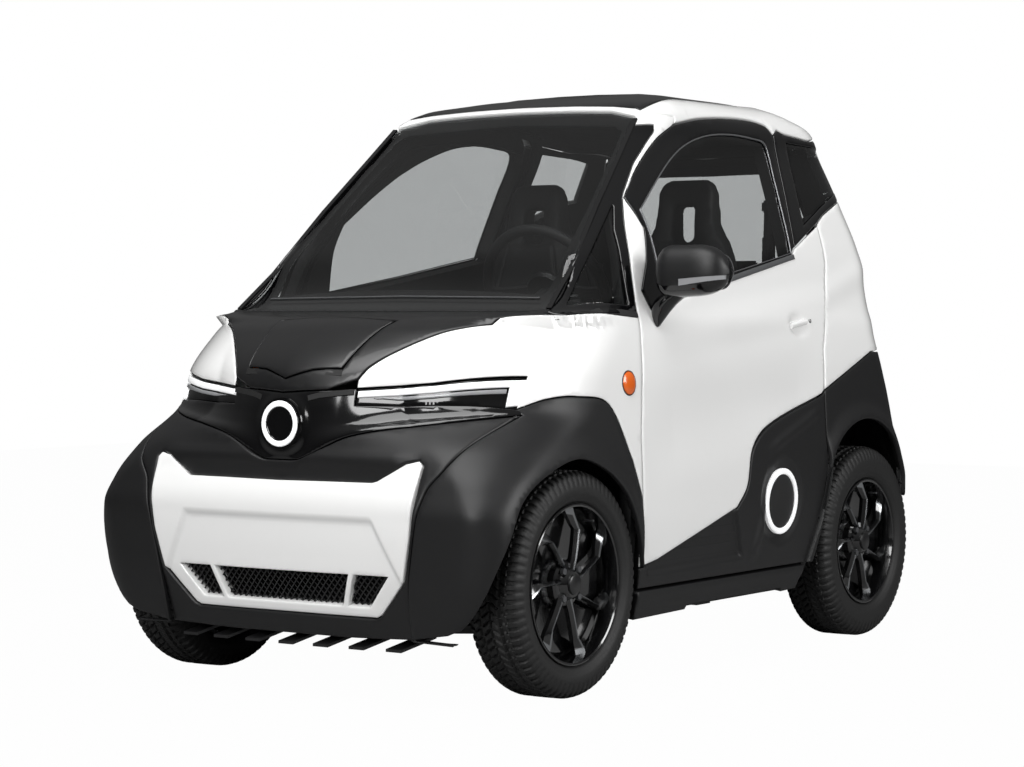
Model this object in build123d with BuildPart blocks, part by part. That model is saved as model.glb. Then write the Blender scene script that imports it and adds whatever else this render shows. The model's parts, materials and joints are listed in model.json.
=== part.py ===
"""Two-seat electric microcar: body skin panels, cabin, running gear and wheels.

The car is drawn about its own mid plane (x = 0), with y = 0 half way along it, the ground at
z = 0, its nose towards -Y and its left side towards +X. Every piece is then moved sideways by
half of what the one door mirror adds, so that the origin is under the middle of the whole box.
"""

import math
import os
from collections import namedtuple

from build123d import *

# ---- driving dimensions, in millimetres -------------------------------------------------------
WALL = 45.0  # thickness of a body wall, door or roof
GLASS_INSET = 4.0  # outer face of a pane below the body surface
GLASS = 5.0
SEAM = 7.0  # gap round a moving panel
EDGE_DEPTH = 6.0  # thickness of the outer edge of a door, inside which its frame is smaller
FIT = 0.3  # clearance of a piece seated on another
FAR = 3000.0  # longer than the car

WHEELBASE = 1544.0
FRONT_AXLE_Y = -736.0
REAR_AXLE_Y = FRONT_AXLE_Y + WHEELBASE
TYRE_WIDTH = 155.0
TYRE_FACE_X = 618.0  # outer face of a tyre
FRONT_TYRE_R = 277.0
REAR_TYRE_R = 274.0
FRONT_RIM_R = 197.0  # rim flange, a 14 inch wheel
REAR_RIM_R = 180.0  # rim flange, a 13 inch wheel
RIM_WALL = 9.0
SPOKES = 7
HUB_R = 62.0
STUB_R = 20.0
DISC_R = 97.0
KINGPIN_X = 490.0

FLOOR_LOW = 165.0
FLOOR_TOP = 205.0
SILL_TOP = 235.0
JACK_X = 500.0
JACK_PAD = 70.0
JACK_DROP = 6.0  # how far a jack pad stands below the floor
MIRROR_REACH = 800.0  # outermost point of the door mirror
MIRROR_DEPTH = 86.0
MIRROR_LOW = 968.0
MIRROR_HIGH = 1102.0
MIRROR_Y = -330.0

# Horizontal sections of the body, from the sill up. Columns: height, half width, then for the
# nose its centre line y, the x and y where the front face turns into the corner, and the y where
# the corner runs out into the side; then the same four for the tail; and the share of a wall's
# thickness that is taken downwards where the surface lies flat.
Level = namedtuple(
    "Level", "z half_width nose_y nose_x nose_corner_y nose_side_y "
    "tail_y tail_x tail_corner_y tail_side_y flat"
)
LEVELS = [
    Level(150, 588, -1085, 480, -1070, -950, 1090, 440, 1078, 950, 0),
    Level(230, 600, -1108, 500, -1092, -985, 1125, 450, 1110, 965, 0),
    Level(320, 610, -1130, 520, -1112, -1010, 1140, 470, 1122, 985, 0),
    Level(450, 618, -1142, 540, -1122, -1040, 1142, 470, 1125, 990, 0),
    Level(520, 617, -1128, 520, -1105, -980, 1134, 468, 1114, 965, 0),
    Level(600, 614, -1112, 430, -1080, -850, 1118, 460, 1095, 930, 0),
    Level(700, 608, -1108, 300, -1020, -640, 1098, 450, 1070, 900, 0),
    Level(779, 603, -1090, 280, -1010, -600, 1080, 440, 1045, 870, 0.1),
    Level(882, 590, -975, 300, -920, -500, 1058, 420, 1020, 840, 0.5),
    Level(908, 585, -925, 300, -875, -480, 1054, 420, 1018, 840, 0.7),
    Level(925, 580, -860, 400, -800, -600, 1052, 420, 1016, 840, 0.8),
    Level(940, 575, -700, 499, -692, -460, 1050, 420, 1014, 840, 0),
    Level(1096, 543, -520, 466, -512, -300, 1026, 410, 1000, 850, 0),
    Level(1253, 492, -346, 435, -337, -150, 985, 380, 958, 820, 0),
    Level(1400, 440, -180, 406, -172, -20, 948, 340, 920, 790, 0),
    Level(1456, 425, -118, 394, -110, 20, 925, 320, 900, 770, 0.5),
    Level(1500, 396, -62, 340, -45, 80, 810, 310, 780, 650, 0.9),
    Level(1540, 320, 110, 250, 122, 200, 600, 240, 575, 480, 1),
    Level(1562, 230, 190, 170, 200, 250, 450, 160, 435, 380, 1),
]

# Outlines seen from the side, as (y, z).
DOOR_OUTLINE = [
    (-443, 238), (-443, 620), (-405, 925), (-386, 1063), (-356, 1145), (-308, 1227), (-208, 1312),
    (-84, 1394), (20, 1440), (185, 1466), (419, 1480), (573, 1455), (500, 1116), (680, 1186),
    (669, 1079), (562, 829), (549, 605), (556, 500), (528, 409), (470, 290), (446, 238),
]
DOOR_FRAME = [
    (-443, 238), (-443, 620), (-405, 925), (-386, 1063), (-356, 1145), (-308, 1227), (-208, 1312),
    (-84, 1394), (20, 1424), (185, 1446), (400, 1452), (540, 1430), (486, 1102), (500, 1095),
    (660, 1164), (652, 1076), (548, 829), (536, 605), (543, 500), (515, 409), (460, 290), (440, 238),
]
DOOR_WINDOW = [
    (-304, 978), (96, 1040), (470, 1102), (508, 1415), (267, 1426), (18, 1369), (-118, 1300),
    (-262, 1200), (-296, 1120),
]
DOOR_CLADDING = [
    (-520, 200), (-520, 290), (-358, 307), (37, 416), (124, 566), (212, 625), (533, 718),
    (620, 742), (620, 200),
]
QUARTER_WINDOW = [(-640, 950), (-432, 950), (-416, 1063), (-388, 1145), (-340, 1215)]
REAR_SIDE_WINDOW = [(640, 1428), (896, 1410), (902, 1284), (735, 1234), (606, 1172)]
ROOF_OUTLINE = [
    (-400, 1460), (40, 1460), (75, 1442), (185, 1462), (419, 1476), (573, 1451), (640, 1442),
    (925, 1421), (1200, 1421), (1200, 1700), (-400, 1700),
]
REAR_QUARTER = [
    (540, 712), (851, 820), (1300, 820), (1300, 1274), (918, 1267), (732, 1216), (500, 1122),
    (500, 712),
]
REAR_CLADDING = [(440, 140), (440, 712), (540, 712), (851, 820), (1300, 820), (1300, 140)]
FRONT_ARCH = [
    (-1300, 140), (-1300, 700), (-956, 712), (-717, 730), (-584, 707), (-487, 567), (-440, 465),
    (-436, 235), (-436, 140),
]

# Outlines seen from the front, half of each, as (x, z) from the middle outwards.
BUMPER_HALF = [
    (0, 140), (380, 140), (380, 250), (395, 345), (434, 515), (471, 567), (509, 644), (540, 690),
    (400, 672), (195, 640), (100, 585), (0, 575),
]
INSERT_HALF = [(0, 565), (406, 563), (398, 420), (372, 300), (281, 214), (259, 214), (0, 214)]
SLOT_HALF = [(0, 313), (340, 313), (262, 226), (0, 226)]
NOSE_BAND_HALF = [
    (0, 575), (100, 585), (195, 640), (400, 672), (540, 690), (540, 703), (190, 712), (60, 738),
    (0, 740),
]
HEADLIGHT = [(186, 744), (531, 781), (545, 781), (545, 700), (527, 703), (190, 712)]
WINDSCREEN_HALF = [(0, 940), (492, 940), (391, 1450), (0, 1456)]
TAIL_LIGHT = [(446, 840), (446, 960), (560, 960), (560, 840)]
TAILGATE_HALF = [(0, 640), (436, 640), (436, 1096), (392, 1253), (345, 1418), (0, 1418)]
REAR_WINDOW_HALF = [(0, 1010), (378, 1010), (340, 1253), (300, 1380), (0, 1380)]

# Outlines seen from above, as (x, y).
BONNET_HALF = [(0, -1300), (190, -1055), (324, -909), (432, -805), (541, -702), (541, -640), (0, -640)]
FLAP_HALF = [(0, -1046), (151, -1035), (193, -894), (0, -894)]
ROOF_PANEL_HALF = [(0, -40), (330, -20), (352, 160), (345, 560), (318, 760), (0, 790)]
BONNET_LOW = 742.0

# Wheel openings from the side: a front leg, the two arcs over the tyre, and the rear leg.
FRONT_OPENING = [
    (-1078, 100), (-1050, 400), (-992, 500), (-880, 551), (-592, 545), (-455, 352), (-443, 290),
    (-443, 100),
]
REAR_OPENING = [(452, 100), (536, 410), (600, 560), (790, 627), (958, 560), (1027, 400), (1027, 100)]
TAIL_LOW = 388.0  # lower edge of the rear bumper
FLARE_REACH = 633.0  # outer face of the lip round a wheel opening
FLARE_WIDTH = 46.0
FLARE_TAPER = 30.0
TYRE_ROOM = 12.0  # between a rear tyre and the wall over it

DOOR_HINGE = (616.0, -443.0)  # x and y of the upright axis, in the seam ahead of the door
DOOR_HINGE_HEIGHTS = (440.0, 560.0)
HINGE_R = 5.0
HINGE_LENGTH = 70.0
HINGE_ROOM = 5.0  # round a hinge barrel
TAILGATE_HINGE = (937.5, 1416.0)  # y and z of the axis across the car, on the skin over the seam
TAILGATE_HINGE_X = 120.0
TAILGATE_TOP = 1411.0
FLAP_HINGE = (-891.0, 916.0)
FLAP_HINGE_R = 3.0

DRIVER_X = 255.0
SEAT_WIDTH = 430.0
SEAT_LOW = 452.0
CUSHION_SIDE = [(-150, SEAT_LOW), (-160, 540), (-120, 575), (300, 560), (330, SEAT_LOW)]
SEAT_BACK_SIDE = [
    (336, SEAT_LOW), (318, 580), (290, 700), (352, 1180), (372, 1327), (430, 1330), (440, 1180),
    (432, SEAT_LOW),
]
HEADREST_WIDTH = 190.0
SHOULDER_WIDTH = 300.0
DASH_SIDE = [
    (-600, 945), (-560, 965), (-420, 965), (-390, 900), (-400, 800), (-470, 700), (-600, 700),
]
DASH_HALF_WIDTH = 522.0
DASH_FOOT = (400.0, -530.0)
STEERING_CENTRE = (DRIVER_X, -330.0, 985.0)
STEERING_TILT = 25.0
STEERING_R = 180.0
STEERING_RIM_R = 15.0
COLUMN_R = 14.0

DAMPER_X = 380.0
DAMPER_Y = FRONT_AXLE_Y + 68.0
DAMPER_R = 24.0
AXLE_SLOT = 70.0
AXLE_SLOT_TOP = 350.0
BEAM_R = 32.0
DRUM_R = 118.0
SPRING_R = 38.0

WHEELHOUSE_WALL = 8.0
FRONT_WELL_X = 298.0
FRONT_WELL_Y = (-1046.0, -430.0)
FRONT_WELL_TOP = 640.0
REAR_WELL_X = 438.0
REAR_WELL_Y = (455.0, 1078.0)
REAR_WELL_TOP = 644.0
BOOT_FLOOR = 12.0

SIDE_SHIFT = -(MIRROR_REACH - FLARE_REACH) / 2


# ---- helpers ------------------------------------------------------------------------------------
def corner_middle(corner_x, corner_y, side_x, side_y):
    """Middle point of the arc from the corner point that runs out tangent to the side."""
    across = side_x - corner_x
    along = side_y - corner_y
    radius = (across**2 + along**2) / (2 * across)
    turn = math.atan2(abs(along), corner_x - (side_x - radius)) / 2
    step = math.copysign(radius * math.sin(turn), -along)
    return side_x - radius + radius * math.cos(turn), side_y + step


def section_lines(level, inset):
    """The closed outline of one body section, drawn inset from the surface."""
    side = level.half_width - inset
    nose = level.nose_y + inset
    tail = level.tail_y - inset
    nose_x, nose_corner = level.nose_x - inset / 2, level.nose_corner_y + inset
    tail_x, tail_corner = level.tail_x - inset / 2, level.tail_corner_y - inset
    nose_side, tail_side = level.nose_side_y + inset / 4, level.tail_side_y - inset / 4
    nose_bend = corner_middle(nose_x, nose_corner, side, nose_side)
    tail_bend = corner_middle(tail_x, tail_corner, side, tail_side)
    ThreePointArc((-nose_x, nose_corner), (0, nose), (nose_x, nose_corner))
    ThreePointArc((nose_x, nose_corner), nose_bend, (side, nose_side))
    Line((side, nose_side), (side, tail_side))
    ThreePointArc((side, tail_side), tail_bend, (tail_x, tail_corner))
    ThreePointArc((tail_x, tail_corner), (0, tail), (-tail_x, tail_corner))
    ThreePointArc((-tail_x, tail_corner), (-tail_bend[0], tail_bend[1]), (-side, tail_side))
    Line((-side, tail_side), (-side, nose_side))
    ThreePointArc((-side, nose_side), (-nose_bend[0], nose_bend[1]), (-nose_x, nose_corner))


def body_solid(inset):
    """The whole body volume, its surface moved inwards by inset."""
    with BuildPart() as solid:
        for level in LEVELS:
            with BuildSketch(Plane.XY.offset(level.z - inset * level.flat)):
                with BuildLine():
                    section_lines(level, inset)
                make_face()
        loft(ruled=True)
    return solid.part


def prism(plane, points, grow=0.0):
    """An outline drawn on a plane, run a car's length both ways."""
    with BuildPart() as block:
        with BuildSketch(plane):
            with BuildLine():
                Polyline(*points, close=True)
            make_face()
            if grow:
                offset(amount=grow, kind=Kind.INTERSECTION)
        extrude(amount=FAR, both=True)
    return block.part


def wheel_opening(points):
    """Side view of a wheel opening, run a car's length both ways."""
    with BuildPart() as block:
        with BuildSketch(Plane.YZ):
            with BuildLine():
                opening_lines(points)
            make_face()
        extrude(amount=FAR, both=True)
    return block.part


def opening_lines(points):
    """Outline of a wheel opening: two straight legs joined by two arcs over the tyre."""
    Line(points[0], points[1])
    ThreePointArc(points[1], points[2], points[3])
    ThreePointArc(points[3], points[4], points[5])
    Polyline(*points[5:], points[0])


def flare(points, low):
    """Tapered lip round the left side's wheel opening, from the height low upwards."""
    with BuildPart() as lip:
        with BuildSketch(Plane.YZ.offset(FLARE_REACH)):
            with BuildLine():
                opening_lines(points)
            make_face()
            offset(amount=FLARE_WIDTH, kind=Kind.INTERSECTION)
        extrude(amount=-WALL, taper=-FLARE_TAPER)
        add(wheel_opening(points), mode=Mode.SUBTRACT)
        add(box_between((0, -FAR, low), (FAR, FAR, FAR)), mode=Mode.INTERSECT)
        add(surface, mode=Mode.SUBTRACT)
    return lip.part


def side_prism(points, grow=0.0):
    return prism(Plane.YZ, points, grow)


def front_prism(half, grow=0.0):
    return prism(Plane.XZ, half + [(-x, z) for x, z in reversed(half) if x > 0], grow)


def top_prism(half, grow=0.0):
    return prism(Plane.XY, half + [(-x, y) for x, y in reversed(half) if x > 0], grow)


def box_between(low, high):
    with BuildPart() as block:
        with Locations(tuple((a + b) / 2 for a, b in zip(low, high))):
            Box(*(b - a for a, b in zip(low, high)))
    return block.part


def keep(part, *prisms):
    """What is left of the part inside every prism."""
    with BuildPart() as piece:
        add(part)
        for block in prisms:
            add(block, mode=Mode.INTERSECT)
    return piece.part


def cut(part, *prisms):
    """What is left of the part outside every prism."""
    with BuildPart() as piece:
        add(part)
        for block in prisms:
            add(block, mode=Mode.SUBTRACT)
    return piece.part


def both_sides(part):
    """A left-hand piece and its mirror image, as one node."""
    with BuildPart() as pair:
        add(part)
        mirror(about=Plane.YZ)
    return pair.part


def opposite(part):
    with BuildPart() as image:
        add(part)
        mirror(about=Plane.YZ, mode=Mode.REPLACE)
    return image.part


def save(part, name):
    piece = part.moved(Location((SIDE_SHIFT, 0, 0)))
    piece.label = name
    export_step(piece, f"parts/{name}.step")


# ---- body skin and its openings -------------------------------------------------------------------
os.makedirs("parts", exist_ok=True)

left_half = box_between((0, -FAR, 0), (FAR, FAR, FAR))
nose_end = box_between((-FAR, -FAR, 0), (FAR, -200, FAR))
tail_end = box_between((-FAR, 600, 0), (FAR, FAR, FAR))
front_well_cut = cut(
    wheel_opening(FRONT_OPENING), box_between((-FRONT_WELL_X, -FAR, 0), (FRONT_WELL_X, FAR, FAR))
)
rear_well_cut = cut(
    wheel_opening(REAR_OPENING), box_between((-REAR_WELL_X, -FAR, 0), (REAR_WELL_X, FAR, FAR))
)
surface = body_solid(0)
cabin_space = body_solid(WALL + FIT)
door_reveal = cut(side_prism(DOOR_OUTLINE, 2 * SEAM), body_solid(WALL + SEAM + 2))
gate_reveal = cut(
    keep(front_prism(TAILGATE_HALF, 2 * SEAM), tail_end), body_solid(WALL + SEAM + 2)
)
inside = cut(cabin_space, door_reveal, gate_reveal)
tail_low_cut = box_between((-FAR, REAR_OPENING[-1][0], 0), (FAR, FAR, TAIL_LOW))
with BuildPart() as rear_tyre_room:
    for way in (-1, 1):
        with BuildSketch(Plane.YZ.offset(way * REAR_WELL_X)):
            with Locations((REAR_AXLE_Y, REAR_TYRE_R)):
                Circle(REAR_TYRE_R + TYRE_ROOM)
        extrude(amount=way * (TYRE_FACE_X + 5 - REAR_WELL_X))
skin = cut(
    surface, body_solid(WALL), front_well_cut, rear_well_cut, tail_low_cut, rear_tyre_room.part
)
pane = cut(body_solid(GLASS_INSET), body_solid(GLASS_INSET + GLASS))

# Doors and lids are cut out with a seam round them, and the fixed panels share what is left.
door_hole = side_prism(DOOR_OUTLINE, SEAM / 2)
tailgate_hole = keep(front_prism(TAILGATE_HALF, SEAM / 2), tail_end)
flap_hole = keep(top_prism(FLAP_HALF, SEAM / 2), box_between((-FAR, -FAR, 700), (FAR, 0, FAR)))
sill_cut = box_between((-FAR, -436, 0), (FAR, 440, SILL_TOP))
fixed_skin = cut(skin, door_hole, tailgate_hole, flap_hole, sill_cut)
save(keep(skin, sill_cut), "sills")


def hinge_line(x, y, low, high):
    """An upright hinge barrel."""
    with BuildPart() as barrel:
        with BuildSketch(Plane.XY.offset(low)):
            with Locations((x, y)):
                Circle(HINGE_R)
        extrude(amount=high - low)
    return barrel.part


def cross_barrel(x, y, z, radius, length):
    """A hinge barrel that lies across the car, centred on x."""
    with BuildPart() as barrel:
        with BuildSketch(Plane.YZ.offset(x - length / 2)):
            with Locations((y, z)):
                Circle(radius)
        extrude(amount=length)
    return barrel.part


def cross_hinge(x, y, z, radius, upright):
    """A hinge across the car: its pocket, its moving middle third and its two fixed thirds.

    The leaves run up and down from an upright hinge, and fore and aft from a flat one.
    """
    reach = radius + HINGE_ROOM
    half_length = HINGE_LENGTH / 2 + HINGE_ROOM
    pocket = box_between((x - half_length, y - reach, z - reach), (x + half_length, y + reach, z + reach))
    half = HINGE_LENGTH / 6 - FIT / 2
    deep = reach + 3.0
    pieces = []
    for step, way in ((-1, 1), (0, -1), (1, 1)):
        middle = x + step * HINGE_LENGTH / 3
        with BuildPart() as leaf:
            add(cross_barrel(middle, y, z, radius, 2 * half))
            if upright:
                low, high = sorted((z, z + way * deep))
                add(box_between((middle - half, y - deep, low), (middle + half, y - 1, high)))
            else:
                low, high = sorted((y, y + way * deep))
                add(box_between((middle - half, low, z - deep), (middle + half, high, z - 1)))
        pieces.append(leaf.part)
    return pocket, pieces[1], (pieces[0], pieces[2])


# Door hinges: the middle barrel belongs to the door, the outer two to the wing ahead of it.
hinge_x, hinge_y = DOOR_HINGE
third = HINGE_LENGTH / 3
hinge_pocket = []
wing_hinges = []
door_hinges = []
for height in DOOR_HINGE_HEIGHTS:
    low = height - HINGE_LENGTH / 2
    reach = HINGE_R + HINGE_ROOM
    hinge_pocket.append(
        box_between(
            (hinge_x - reach, hinge_y - reach, low - HINGE_ROOM),
            (hinge_x + 2 * reach, hinge_y + reach, low + HINGE_LENGTH + HINGE_ROOM),
        )
    )
    for step in range(3):
        start = low + step * third + FIT / 2
        end = low + (step + 1) * third - FIT / 2
        forward = step != 1
        leaf_y = (hinge_y - reach - 8.0, hinge_y) if forward else (hinge_y, hinge_y + reach + 8.0)
        with BuildPart() as knuckle_piece:
            add(hinge_line(hinge_x, hinge_y, start, end))
            add(box_between((hinge_x - HINGE_R, leaf_y[0], start), (hinge_x, leaf_y[1], end)))
        (wing_hinges if forward else door_hinges).append(knuckle_piece.part)

# ---- nose -----------------------------------------------------------------------------------------
nose_skin = keep(fixed_skin, nose_end, box_between((-FAR, -FAR, 0), (FAR, FAR, 935)))
greenhouse_skin = cut(fixed_skin, keep(nose_end, box_between((-FAR, -FAR, 0), (FAR, FAR, 935))))
front_face = box_between((-FAR, -FAR, 0), (FAR, -760, FAR))

bumper_cut = keep(front_prism(BUMPER_HALF), front_face)
insert_cut = keep(front_prism(INSERT_HALF), front_face)
slot_cut = keep(front_prism(SLOT_HALF), front_face)
band_cut = keep(front_prism(NOSE_BAND_HALF), front_face)
lamp_cut = keep(prism(Plane.XZ, HEADLIGHT), front_face, left_half)
lamp_cut_right = opposite(lamp_cut)
bonnet_cut = keep(top_prism(BONNET_HALF), box_between((-FAR, -FAR, BONNET_LOW), (FAR, FAR, FAR)))
arch_cut = side_prism(FRONT_ARCH)

save(keep(nose_skin, cut(bumper_cut, insert_cut)), "front_bumper")
save(keep(nose_skin, cut(insert_cut, slot_cut)), "bumper_insert")

with BuildPart() as lower_grille:
    add(cut(body_solid(WALL / 2), body_solid(WALL / 2 + 6.0)))
    add(slot_cut, mode=Mode.INTERSECT)
save(lower_grille.part, "lower_grille")

save(cut(keep(nose_skin, band_cut), bumper_cut), "nose_band")
save(both_sides(cut(keep(nose_skin, lamp_cut), band_cut, bumper_cut)), "headlights")
flap_pocket, flap_leaf, bonnet_leaves = cross_hinge(0, *FLAP_HINGE, FLAP_HINGE_R, False)
with BuildPart() as bonnet:
    add(cut(keep(nose_skin, bonnet_cut), band_cut, lamp_cut, lamp_cut_right, flap_pocket))
    for leaf in bonnet_leaves:
        add(leaf)
save(bonnet.part, "bonnet")

wing_skin = cut(nose_skin, bumper_cut, band_cut, lamp_cut, lamp_cut_right, bonnet_cut, arch_cut)
with BuildPart() as front_wing:
    add(keep(wing_skin, left_half))
    for pocket in hinge_pocket:
        add(pocket, mode=Mode.SUBTRACT)
    for knuckle_piece in wing_hinges[2:]:
        add(knuckle_piece)
save(both_sides(front_wing.part), "front_wings")

arch_skin = cut(keep(nose_skin, arch_cut), bumper_cut, band_cut, lamp_cut, lamp_cut_right, bonnet_cut)
with BuildPart() as front_arch:
    add(keep(arch_skin, left_half))
    for pocket in hinge_pocket:
        add(pocket, mode=Mode.SUBTRACT)
    for knuckle_piece in wing_hinges[:2]:
        add(knuckle_piece)
    add(cut(flare(FRONT_OPENING, LEVELS[0].z), hinge_pocket[0], door_hole, sill_cut))
save(both_sides(front_arch.part), "front_arches")

with BuildPart() as bonnet_flap:
    add(cut(skin, body_solid(14.0)))
    add(keep(top_prism(FLAP_HALF, -SEAM / 2), box_between((-FAR, -FAR, 700), (FAR, 0, FAR))),
        mode=Mode.INTERSECT)
    add(flap_pocket, mode=Mode.SUBTRACT)
    add(flap_leaf)
save(bonnet_flap.part, "bonnet_flap")

# ---- cabin skin -----------------------------------------------------------------------------------
screen_cut = keep(front_prism(WINDSCREEN_HALF), box_between((-FAR, -FAR, 0), (FAR, 0, FAR)))
quarter_cut = side_prism(QUARTER_WINDOW)
rear_side_cut = side_prism(REAR_SIDE_WINDOW)
window_cut = side_prism(DOOR_WINDOW)
roof_cut = side_prism(ROOF_OUTLINE)
rear_quarter_cut = side_prism(REAR_QUARTER)
rear_cladding_cut = side_prism(REAR_CLADDING)
lamp_end = box_between((0, 930, 0), (FAR, FAR, FAR))
tail_lamp_cut = keep(prism(Plane.XZ, TAIL_LIGHT), lamp_end)
roof_panel_cut = keep(top_prism(ROOF_PANEL_HALF), box_between((-FAR, -FAR, 1300), (FAR, FAR, FAR)))

screen_fit = keep(front_prism(WINDSCREEN_HALF, -FIT), box_between((-FAR, -FAR, 0), (FAR, 0, FAR)))
save(keep(pane, screen_fit), "windscreen")
with BuildPart() as side_windows:
    for outline in (QUARTER_WINDOW, REAR_SIDE_WINDOW):
        add(both_sides(keep(pane, side_prism(outline, -FIT), left_half)))
save(side_windows.part, "fixed_side_windows")

roof_skin = keep(greenhouse_skin, roof_cut)
save(keep(roof_skin, roof_panel_cut), "roof_panel")
gate_hinges = [
    cross_hinge(x, *TAILGATE_HINGE, HINGE_R, True)
    for x in (-TAILGATE_HINGE_X, TAILGATE_HINGE_X)
]
with BuildPart() as roof_frame:
    add(cut(roof_skin, roof_panel_cut))
    for pocket, _, leaves in gate_hinges:
        add(pocket, mode=Mode.SUBTRACT)
        for leaf in leaves:
            add(leaf)
save(roof_frame.part, "roof_frame")

side_skin = cut(greenhouse_skin, roof_cut, screen_cut, quarter_cut, rear_side_cut)
lower_tail = box_between((-FAR, 440, 0), (FAR, FAR, FAR))
rear_quarters = cut(keep(side_skin, rear_quarter_cut, lower_tail), tail_lamp_cut, opposite(tail_lamp_cut))
save(rear_quarters, "rear_quarters")
save(both_sides(keep(side_skin, rear_quarter_cut, tail_lamp_cut)), "tail_lights")
rear_bumper_cut = box_between((-FAR, 1030, 0), (FAR, FAR, 640 - SEAM / 2))
cladding_skin = keep(side_skin, rear_cladding_cut, lower_tail)
save(keep(cladding_skin, rear_bumper_cut), "rear_bumper")
with BuildPart() as rear_arch:
    add(keep(cut(cladding_skin, rear_bumper_cut), left_half))
    add(cut(flare(REAR_OPENING, TAIL_LOW), door_hole, rear_tyre_room.part, rear_bumper_cut))
save(both_sides(rear_arch.part), "rear_arches")
side_frames = cut(side_skin, rear_quarter_cut, keep(rear_cladding_cut, lower_tail))
save(side_frames, "side_frames")

# ---- doors ----------------------------------------------------------------------------------------
door_block = keep(skin, side_prism(DOOR_OUTLINE, -SEAM / 2), left_half)
frame_relief = cut(body_solid(EDGE_DEPTH), side_prism(DOOR_FRAME, -SEAM / 2))
door_shell = cut(door_block, window_cut, frame_relief)
cladding_cut = side_prism(DOOR_CLADDING)
with BuildPart() as door:
    add(cut(door_shell, cladding_cut))
    for pocket in hinge_pocket:
        add(pocket, mode=Mode.SUBTRACT)
    for knuckle_piece in door_hinges:
        add(knuckle_piece)
with BuildPart() as door_cladding:
    add(keep(door_shell, cladding_cut))
door_glass = keep(pane, side_prism(DOOR_WINDOW, -FIT), left_half)
for side, turn in (("left", lambda part: part), ("right", opposite)):
    save(turn(door.part), f"door_{side}")
    save(turn(door_cladding.part), f"door_cladding_{side}")
    save(turn(door_glass), f"door_glass_{side}")

with BuildPart() as mirror_left:
    with BuildSketch(Plane.XZ.offset(-MIRROR_Y - MIRROR_DEPTH / 2)):
        with Locations(((MIRROR_REACH + 640) / 2, (MIRROR_LOW + MIRROR_HIGH) / 2)):
            RectangleRounded(MIRROR_REACH - 640, MIRROR_HIGH - MIRROR_LOW, 45)
    extrude(amount=MIRROR_DEPTH)
    with BuildSketch(Plane.XZ.offset(-MIRROR_Y - 16)):
        with BuildLine():
            Polyline((540, 890), (590, 890), (650, 975), (700, 990), (700, 1030), (650, 1030), (540, 950),
                     close=True)
        make_face()
    extrude(amount=32)
    add(surface, mode=Mode.SUBTRACT)
save(mirror_left.part.solids().sort_by(Axis.X)[-1], "mirror_left")

# ---- tailgate -------------------------------------------------------------------------------------
gate_block = keep(
    front_prism(TAILGATE_HALF, -SEAM / 2), tail_end, box_between((-FAR, 0, 0), (FAR, FAR, TAILGATE_TOP))
)
rear_window_cut = keep(front_prism(REAR_WINDOW_HALF), tail_end)
with BuildPart() as tailgate:
    add(cut(keep(skin, gate_block), rear_window_cut))
    for pocket, leaf, _ in gate_hinges:
        add(pocket, mode=Mode.SUBTRACT)
        add(leaf)
save(tailgate.part, "tailgate")
save(keep(pane, keep(front_prism(REAR_WINDOW_HALF, -FIT), tail_end)), "tailgate_glass")


# ---- cabin ----------------------------------------------------------------------------------------
with BuildPart() as floor_pan:
    add(box_between((-FAR, FRONT_WELL_Y[1] + 8, FLOOR_LOW), (FAR, REAR_WELL_Y[0] - 8, FLOOR_TOP)))
    front_rail = FRONT_WELL_X - WHEELHOUSE_WALL - FIT
    add(box_between((-front_rail, -1040, FLOOR_LOW), (front_rail, 0, FLOOR_TOP)))
    rear_rail = REAR_WELL_X - WHEELHOUSE_WALL - FIT
    add(box_between((-rear_rail, 0, FLOOR_LOW), (rear_rail, 1040, FLOOR_TOP)))
    for way in (-1, 1):
        add(box_between((way * JACK_X - JACK_PAD / 2, -JACK_PAD / 2, FLOOR_LOW - JACK_DROP),
                        (way * JACK_X + JACK_PAD / 2, JACK_PAD / 2, FLOOR_LOW + 1)))
    add(inside, mode=Mode.INTERSECT)
save(floor_pan.part, "floor_pan")

with BuildPart() as front_wheelhouse:
    add(box_between((FRONT_WELL_X - WHEELHOUSE_WALL, FRONT_WELL_Y[0] - 8, FLOOR_LOW),
                    (FAR, FRONT_WELL_Y[1] + 8 - FIT, FRONT_WELL_TOP + WHEELHOUSE_WALL)))
    add(box_between((FRONT_WELL_X, FRONT_WELL_Y[0], 0), (FAR, FRONT_WELL_Y[1], FRONT_WELL_TOP)),
        mode=Mode.SUBTRACT)
    add(inside, mode=Mode.INTERSECT)
save(both_sides(front_wheelhouse.part.solids().sort_by(SortBy.VOLUME)[-1]), "front_wheelhouses")

with BuildPart() as rear_wheelhouse:
    add(box_between((REAR_WELL_X - WHEELHOUSE_WALL, REAR_WELL_Y[0] - 8 + FIT, FLOOR_LOW),
                    (FAR, REAR_WELL_Y[1] + 8, REAR_WELL_TOP + WHEELHOUSE_WALL)))
    add(box_between((REAR_WELL_X, REAR_WELL_Y[0], 0), (FAR, REAR_WELL_Y[1], REAR_WELL_TOP)),
        mode=Mode.SUBTRACT)
    add(box_between((0, REAR_AXLE_Y - AXLE_SLOT, 0), (FAR, REAR_AXLE_Y + AXLE_SLOT, AXLE_SLOT_TOP)),
        mode=Mode.SUBTRACT)
    add(tail_low_cut, mode=Mode.SUBTRACT)
    add(inside, mode=Mode.INTERSECT)
save(both_sides(rear_wheelhouse.part.solids().sort_by(SortBy.VOLUME)[-1]), "rear_wheelhouses")

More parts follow.
